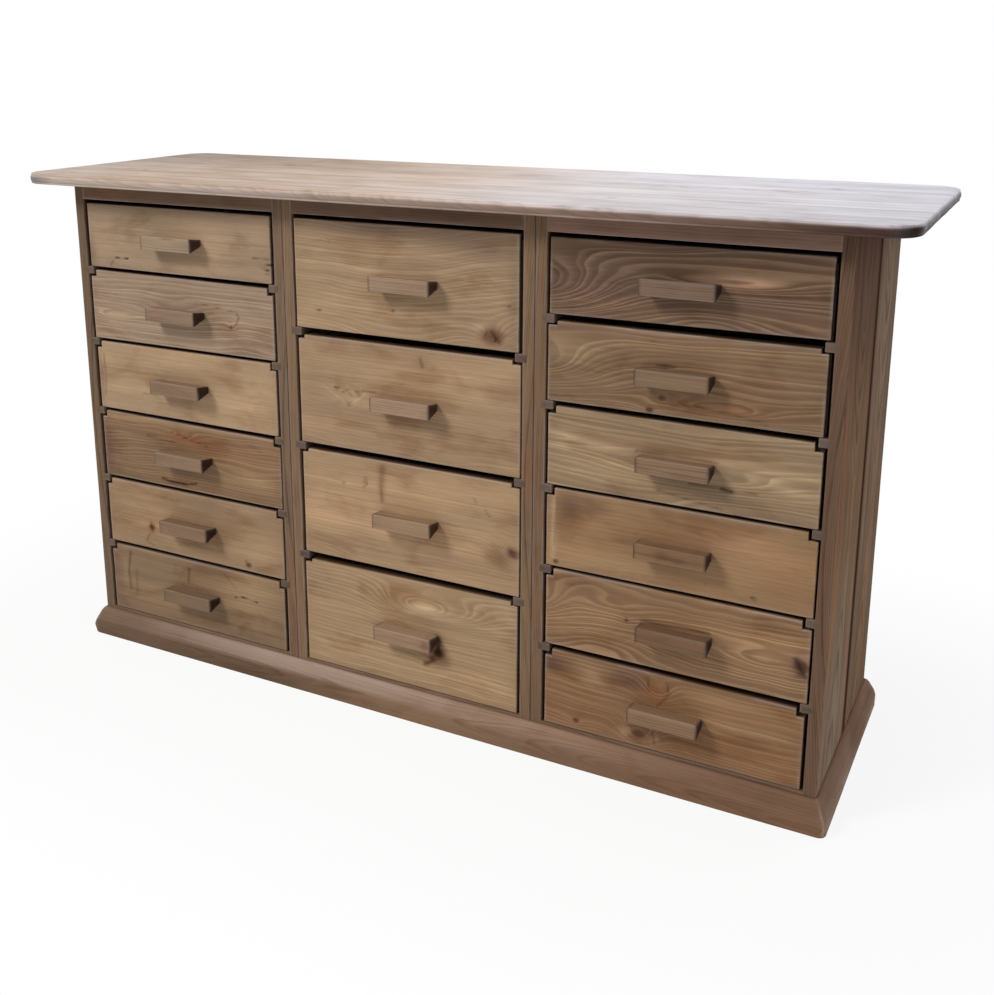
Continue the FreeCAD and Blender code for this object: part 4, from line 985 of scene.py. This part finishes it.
class CABINET_OT_runners(CabinetOperator, bpy.types.Operator):
    """Build the runners that carry the drawers, housed in the uprights and flush with their front edges"""
    bl_idname = "cabinet.runners"
    bl_label = "Runners"

    def execute(self, context):
        s, c = sizes(), colours()
        low, high = packed("runners")
        parts = []
        for column in COLUMNS:
            for top in runner_tops(column):
                for sign, edge in zip((1, -1), bay(column)):
                    x0, x1 = sorted((edge - sign * HOUSED, edge + sign * RUNNER_END[0]))
                    seed = 200 + len(parts)
                    dice = np.random.default_rng(seed)
                    shift = dice.uniform(0.78, 1.25) * dice.uniform((0.97, 0.95, 0.88), (1.05, 1.05, 1.2))
                    pith = ((0, dice.uniform(-14, 14), dice.uniform(-20, 20)),)
                    cut = timber(np.array(c.runner) * shift, np.array(c.runner_band) * shift, 0.55, 2.4, pith,
                                 turn="y", seed=seed, wear=0.35)
                    part = block((x0, low[1] - RUNNER_PROUD, top - RUNNER_END[1]), (x1, high[1], top), cut,
                                 (2 * MM, 8 * MM, 2 * MM), s.arris, wander=s.wander)
                    inwards = sign * (part[0][:, 0] - edge)
                    # Painted shade where the runner enters its housing.
                    parts.append(tinted(part, inwards, HOUSING_PAINTED_SHADE))
                    part[2]["dark"] = 0.55 * np.exp(-((inwards + HOUSED) / (1.1 * MM)) ** 2)
        piece("runner_bars", BODY, parts, wood("runner_pine", fibre=0.3), ["runners"])
        return {"FINISHED"}


# How the colours of the top board's upper side change with x in m, turning paler and bluish towards the right
# with a painted reflection, and how those of its rim darken towards its right end.
TOP_SHEEN_FADE = ((-0.7, 1.08, 1.07, 1.10), (-0.5, 1.05, 0.98, 0.90), (-0.25, 1.20, 1.14, 1.09),
            (0, 1.60, 1.60, 1.70), (0.25, 1.84, 2.18, 2.78), (0.5, 1.78, 2.17, 2.88), (0.7, 1.67, 2.07, 2.85))
RIM_FADE = ((-0.783, 0.22, 0.24, 0.27), (-0.74, 0.41, 0.48, 0.58), (-0.70, 0.88, 0.91, 0.96),
            (-0.3, 0.84, 0.86, 0.94), (0, 0.64, 0.61, 0.61), (0.4, 0.45, 0.36, 0.36), (0.6, 0.32, 0.25, 0.22),
            (0.68, 0.165, 0.11, 0.10), (0.74, 0.13, 0.075, 0.08), (0.77, 0.19, 0.20, 0.26),
            (0.783, 0.27, 0.31, 0.46))
TOP_PATCHES = (
    (-700, 200, 360, 160, (0.235, 0.165, 0.115), 0.8), (300, 200, 420, 130, (0.50, 0.41, 0.36), 0.6),
    (-560, -190, 480, 110, (0.55, 0.435, 0.355), 0.75), (-380, -30, 300, 14, (0.62, 0.50, 0.42), 0.5),
    (-220, 60, 300, 10, (0.30, 0.21, 0.16), 0.5), (-520, -120, 200, 9, (0.30, 0.22, 0.17), 0.4),
    (-160, -150, 260, 12, (0.62, 0.52, 0.44), 0.5), (120, -90, 300, 12, (0.34, 0.26, 0.21), 0.4),
    (380, -190, 260, 10, (0.34, 0.25, 0.20), 0.45), (420, 90, 320, 16, (0.52, 0.40, 0.31), 0.4),
    (560, -60, 200, 10, (0.36, 0.27, 0.21), 0.35))
TOP_STRAY_REACH = 12 * MM  # how far in from its rim the top board strays from straight
TOP_HOLLOW = 0.35 * MM  # mean depth of the hollows in its upper and lower side


class CABINET_OT_top(CabinetOperator, bpy.types.Operator):
    """Build the top board with its rounded corners and worn rim"""
    bl_idname = "cabinet.top"
    bl_label = "Top board"

    def execute(self, context):
        s, c = sizes(), colours()
        low, high = packed("top_board")
        at_rim = s.top_edge * np.array([0, 0.25, 0.5, 0.75, 1])
        at_corner = np.concatenate([at_rim, s.top_corner * np.array([0.3, 0.45, 0.6, 0.8, 1])])
        near = at_corner, at_corner, at_rim
        steps = 5 * MM, 5 * MM, 2 * MM
        raw, quads = lattice(*(stations(low[i], high[i], steps[i], 0,
                                        np.concatenate([low[i] + near[i], high[i] - near[i]]))
                               for i in range(3)))
        edge = edge_distance(raw, low, high)
        points = cornered(raw, low, high, s.top_corner, s.top_edge)
        stray = s.top_wander * (0.4 + 0.6 * waves(points, 5, 8, 0.5, 0.02)) * np.exp(-edge / TOP_STRAY_REACH)
        outwards = np.sign(points - (low + high) / 2)
        at_face = np.minimum(raw - low, high - raw) < TOP_STRAY_REACH
        points[:, :2] -= (outwards * at_face)[:, :2] * stray[:, None]
        points[:, 2] -= outwards[:, 2] * TOP_HOLLOW * (1 + waves(points, 9, 5, 0.7, 0.08))
        cut = timber(c.top, c.top_band, 0.45, 4.2,
                     ((-780, -120, 130), (-300, -60, 90), (200, 40, 110), (780, 90, 60)),
                     knots=((-420, 90, 9, 4.0, 0.35), (330, -140, 7, 3.0, 0.3), (610, 120, 8, 3.0, 0.3)),
                     patches=TOP_PATCHES, turn="flat", seed=3)
        values = timber_values(points, cut)
        values["edge"] = np.exp(-edge / (3 * MM)) * (points[:, 0] < 0.5)
        values["grime"] = np.exp(-edge / (16 * MM))
        part = (points, quads, values)
        x, y, z = points.T
        under_edge = high[2] - 3.5 * MM - z
        on_rim = np.clip(under_edge / (4 * MM), 0, 1)
        # Painted reflection: the upper side pales and turns bluish towards the right.
        tinted(part, x, TOP_SHEEN_FADE, 1 - on_rim)
        tinted(part, x, RIM_FADE, on_rim)
        corner_stain = bell(x, y, high[0] - 6 * MM, low[1] + 22 * MM, 22 * MM, 30 * MM)
        corner_stain *= np.clip(under_edge / (3 * MM), 0, 1)
        end_stain = bell(x, z, high[0], high[2] - 17 * MM, 12 * MM, 7 * MM)
        values["dark"] = np.max([values["dark"], 0.9 * corner_stain, 0.8 * end_stain], axis=0)
        made = wood("top_pine", fibre=0.38, blotch=0.12, stripes=0.5, rough=(0.36, 0.62))
        piece("top_plank", BODY, [part], made, ["top_board"])
        return {"FINISHED"}


# Height of the plinth's upper side over its distance from the uprights, in mm, and how the colours of the
# bevel and of the face under it change with x in m; the face's lower values are painted shade.
PLINTH_PROFILE = ((0, 52), (1.5, 51.6), (4, 50), (8, 45), (17, 27), (19.2, 20), (20, 16))
BEVEL_FADE = ((-0.65, 0.59, 0.53, 0.52), (-0.3, 1.05, 1.13, 1.28), (0, 1.05, 1.07, 1.15),
              (0.3, 0.91, 0.84, 0.79), (0.6, 0.59, 0.47, 0.39))
FACE_SHADE_FADE = ((-0.65, 0.44, 0.39, 0.34), (-0.3, 0.41, 0.35, 0.29), (0, 0.78, 0.70, 0.60),
             (0.3, 0.64, 0.55, 0.48), (0.6, 0.66, 0.54, 0.44))
BEVEL_FOOT = 25 * MM  # height at which the face's colours begin to turn into the bevel's
PLINTH_STRAY, MITRE_RUBBED = 0.4 * MM, 2.2 * MM  # how far its face strays, and its mitres are worn back
# Grain direction and heart line of the boards that face along x and of those that face along y.
PLINTH_CUTS = (("y", ((-220, 20, 40), (220, -20, 30))), ("x", ((-700, -30, 40), (0, 30, 60), (700, -20, 30))))


class CABINET_OT_plinth(CabinetOperator, bpy.types.Operator):
    """Build the bevelled plinth boards, mitred at the corners"""
    bl_idname = "cabinet.plinth"
    bl_label = "Plinth"

    def execute(self, context):
        c = colours()
        inner = packed("plinth_returns")[1][:2] - THICK
        out_at, height_at = (np.array(PLINTH_PROFILE, float) * MM).T
        made = wood("plinth_pine", fibre=0.4, stripes=0.2)
        boards = {}
        sides = ("front", 1, -1), ("left", 0, -1), ("right", 0, 1), ("back", 1, 1)
        for index, (side, axis, sign) in enumerate(sides):
            run = inner[1 - axis]
            raw, quads = lattice(stations(-1, 1, 5 * MM / run), stations(0, THICK, 2 * MM, 0, out_at),
                                 stations(0, 1, 0.08, 0, (0.02, 0.98)))
            share, out, up = raw.T
            height = np.interp(out, out_at, height_at)
            where = share * (run + out)
            points = np.zeros_like(raw)
            mitre = run + out - np.abs(where)
            stray = PLINTH_STRAY * (0.5 + 0.5 * waves(raw * (run, 1, 0.05), index, 6, 0.3, 0.03))
            stray *= 1 - np.exp(-mitre / (12 * MM))
            rubbed = MITRE_RUBBED * np.exp(-(mitre / (6 * MM)) ** 2) * out / THICK * (1.6 - up)
            points[:, 1 - axis] = where - np.sign(share) * rubbed
            points[:, axis] = sign * (inner[axis] + out - stray - rubbed)
            points[:, 2] = up * height
            flip = (axis == 1) == (sign > 0)
            turn, pith = PLINTH_CUTS[axis]
            cut = timber(c.plinth, c.plinth_band, 0.5, 3.0, pith, turn=turn, seed=300 + index)
            values = timber_values(points, cut)
            part = (points, quads if flip else quads[:, ::-1], values)
            lift = np.clip((up * height - BEVEL_FOOT) / (8 * MM), 0, 1)
            along = where if side == "front" else np.full(len(where), 0.6 * (sign if axis == 0 else 1))
            tinted(part, along, BEVEL_FADE, lift)
            # Painted shade keeps the face under the bevel darker.
            tinted(part, along, FACE_SHADE_FADE, 1 - lift)
            values["edge"] = np.exp(-mitre / (2.5 * MM))
            values["grime"] = np.exp(-up * height / (7 * MM))
            # Painted shade along the crease where the plinth meets the uprights.
            values["dark"] = 0.6 * np.exp(-(out / (1.6 * MM)) ** 2)
            boards.setdefault("plinth_front" if side == "front" else "plinth_returns", []).append(part)
        for node, parts in boards.items():
            piece(node + "_boards", BODY, parts, made, [node])
        return {"FINISHED"}


GAP_SHADE_DEPTH = 3 * MM  # length of a drawer's sides behind the front that is wholly dark with painted shade, standing in for the shadow in the gaps


class CABINET_OT_packed(CabinetOperator, bpy.types.Operator):
    """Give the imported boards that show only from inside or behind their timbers"""
    bl_idname = "cabinet.packed"
    bl_label = "Inner boards"

    def execute(self, context):
        c = colours()
        inner = wood("inner_pine", loose=("y", 3.0, c.inner, c.inner_band),
                     joint=packed("drawer_left_1_box")[0][1] + GAP_SHADE_DEPTH)
        back = wood("back_pine", loose=("z", 3.4, c.side, c.side_band))
        floor = wood("floor_pine", loose=("x", 3.0, c.upright, c.upright_band))
        given = {"back_boards": back, "bottom_boards": floor, "top_screws": steel()}
        given.update({f"drawer_{column}_{number}_box": inner for column, number in drawers()})
        for node, made in given.items():
            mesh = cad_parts[node].data
            mesh.materials.clear()
            mesh.materials.append(made)
        return {"FINISHED"}


# Stage --------------------------------------------------------

# Name, place in m, width in m, power in W and colour of each soft lamp.
LAMPS = (("key", (-2.3, -3.3, 3.9), 1.6, 165, (1, 0.99, 0.975)),
         ("fill", (3.6, -1.2, 2.4), 2.6, 20, (0.97, 0.98, 1)),
         ("window", (1.6, 1.9, 2.4), 1.4, 16, (0.90, 0.95, 1)))
LAMP_AIM = (0, 0, 0.45)
AMBIENT = (0.29, 0.285, 0.278)  # colour of the surroundings' light
FLOOR_REACH = 14  # half the floor's width in m
SHADED = ((0, 0.70), (1, 0.20))  # the axes and half sizes of the floor's shaded middle
CLEAR_AFTER = 0.75  # how far beyond that middle the floor turns wholly white
# The camera's lens in mm and shares of its width, its place in m and its turn in degrees.
LENS = dict(sensor_fit="AUTO", sensor_width=36, lens=43.82, shift_x=0.04154, shift_y=-0.14868)
EYE = (0.975827, -1.852808, 1.135183)
EYE_TURN = (76.11191, 0.243916, 27.947066)


def studio_floor():
    """A pale floor that takes the cabinet's shadow, mixed with plain white by the distance from a rectangle
    under the cabinet, so that it ends in the white surroundings."""
    t = Tree("studio_floor")
    place = t.place()
    pale = tuple(colours().floor)
    tone = t.mix(t.noise(t.scale(place, (3, 3, 3))), pale, tuple(0.985 * value for value in pale))
    lit = t.add("ShaderNodeBsdfPrincipled", {"Base Color": tone, "Roughness": 0.9, "Specular IOR Level": 0.1})
    white = t.add("ShaderNodeEmission", {"Color": (1, 1, 1), "Strength": 1.0})
    split = t.add("ShaderNodeSeparateXYZ", {0: place}).node.outputs
    beyond = [t.math("MAXIMUM", t.math("SUBTRACT", t.math("ABSOLUTE", split[axis]), half), 0.0)
              for axis, half in SHADED]
    away = t.math("SQRT", t.math("ADD", *(t.times(d, d) for d in beyond)))
    share = t.times(t.unlit_share(), t.ramp(away, 0.0, CLEAR_AFTER, 0.87, 1.0))
    return t.finish(t.add("ShaderNodeMixShader", {0: share, 1: lit, 2: white}))


def aimed(direction):
    """Euler angles that turn a lamp's -Z along a direction: tilted about X by the angle from straight down,
    then turned about Z."""
    x, y, z = direction / np.linalg.norm(direction)
    return (math.acos(-z), 0, math.atan2(y, x) - math.pi / 2)


class CABINET_OT_stage(CabinetOperator, bpy.types.Operator):
    """Set up the floor, the soft light, the white surroundings and the camera"""
    bl_idname = "cabinet.stage"
    bl_label = "Stage"

    def execute(self, context):
        scene = context.scene
        mesh = bpy.data.meshes.new("studio_floor")
        corners = [(x * FLOOR_REACH, y * FLOOR_REACH, 0) for x, y in ((-1, -1), (1, -1), (1, 1), (-1, 1))]
        mesh.from_pydata(corners, [], [range(4)])
        mesh.materials.append(studio_floor())
        floor = bpy.data.objects.new("studio_floor", mesh)
        scene.collection.objects.link(floor)

        for name, place, size, power, tint in LAMPS:
            lamp = bpy.data.lights.new(name, "AREA")
            lamp.shape = "DISK"
            lamp.size = size
            lamp.energy = power
            lamp.color = tint
            thing = bpy.data.objects.new(name, lamp)
            thing.location = place
            thing.rotation_euler = aimed(np.subtract(LAMP_AIM, place))
            scene.collection.objects.link(thing)

        t = Tree("surroundings", "worlds")
        tone = t.mix(t.unlit_share(), AMBIENT, (1, 1, 1))
        scene.world = t.finish(t.add("ShaderNodeBackground", {0: tone}), "World")

        camera = bpy.data.cameras.new("camera")
        for key, value in LENS.items():
            setattr(camera, key, value)
        eye = bpy.data.objects.new("camera", camera)
        eye.location = EYE
        eye.rotation_euler = np.radians(EYE_TURN)
        scene.collection.objects.link(eye)
        scene.camera = eye
        scene.view_settings.view_transform = "Standard"
        scene.view_settings.look = "None"
        return {"FINISHED"}


# Add-on -------------------------------------------------------

class CABINET_PT_panel(bpy.types.Panel):
    """Buttons for every step of the cabinet"""
    bl_idname = "CABINET_PT_panel"
    bl_label = "Seed Storage Cabinet"
    bl_space_type = "VIEW_3D"
    bl_region_type = "UI"
    bl_category = "Cabinet"

    def draw(self, context):
        for operator in STEPS:
            self.layout.operator(operator.bl_idname)


STEPS = (CABINET_OT_top, CABINET_OT_uprights, CABINET_OT_rails, CABINET_OT_runners, CABINET_OT_fronts,
         CABINET_OT_pulls, CABINET_OT_plinth, CABINET_OT_packed, CABINET_OT_stage)
CLASSES = (CABINET_Sizes, CABINET_Colours, *STEPS, CABINET_PT_panel)


def register():
    for kind in CLASSES:
        bpy.utils.register_class(kind)
    bpy.types.Scene.cabinet_sizes = PointerProperty(type=CABINET_Sizes)
    bpy.types.Scene.cabinet_colours = PointerProperty(type=CABINET_Colours)


def unregister():
    del bpy.types.Scene.cabinet_colours
    del bpy.types.Scene.cabinet_sizes
    for kind in reversed(CLASSES):
        bpy.utils.unregister_class(kind)


def main():
    register()
    for operator in STEPS:
        group, name = operator.bl_idname.split(".")
        if getattr(getattr(bpy.ops, group), name)() != {"FINISHED"}:
            raise RuntimeError(f"{operator.bl_label} did not finish")


if __name__ == "__main__":
    main()
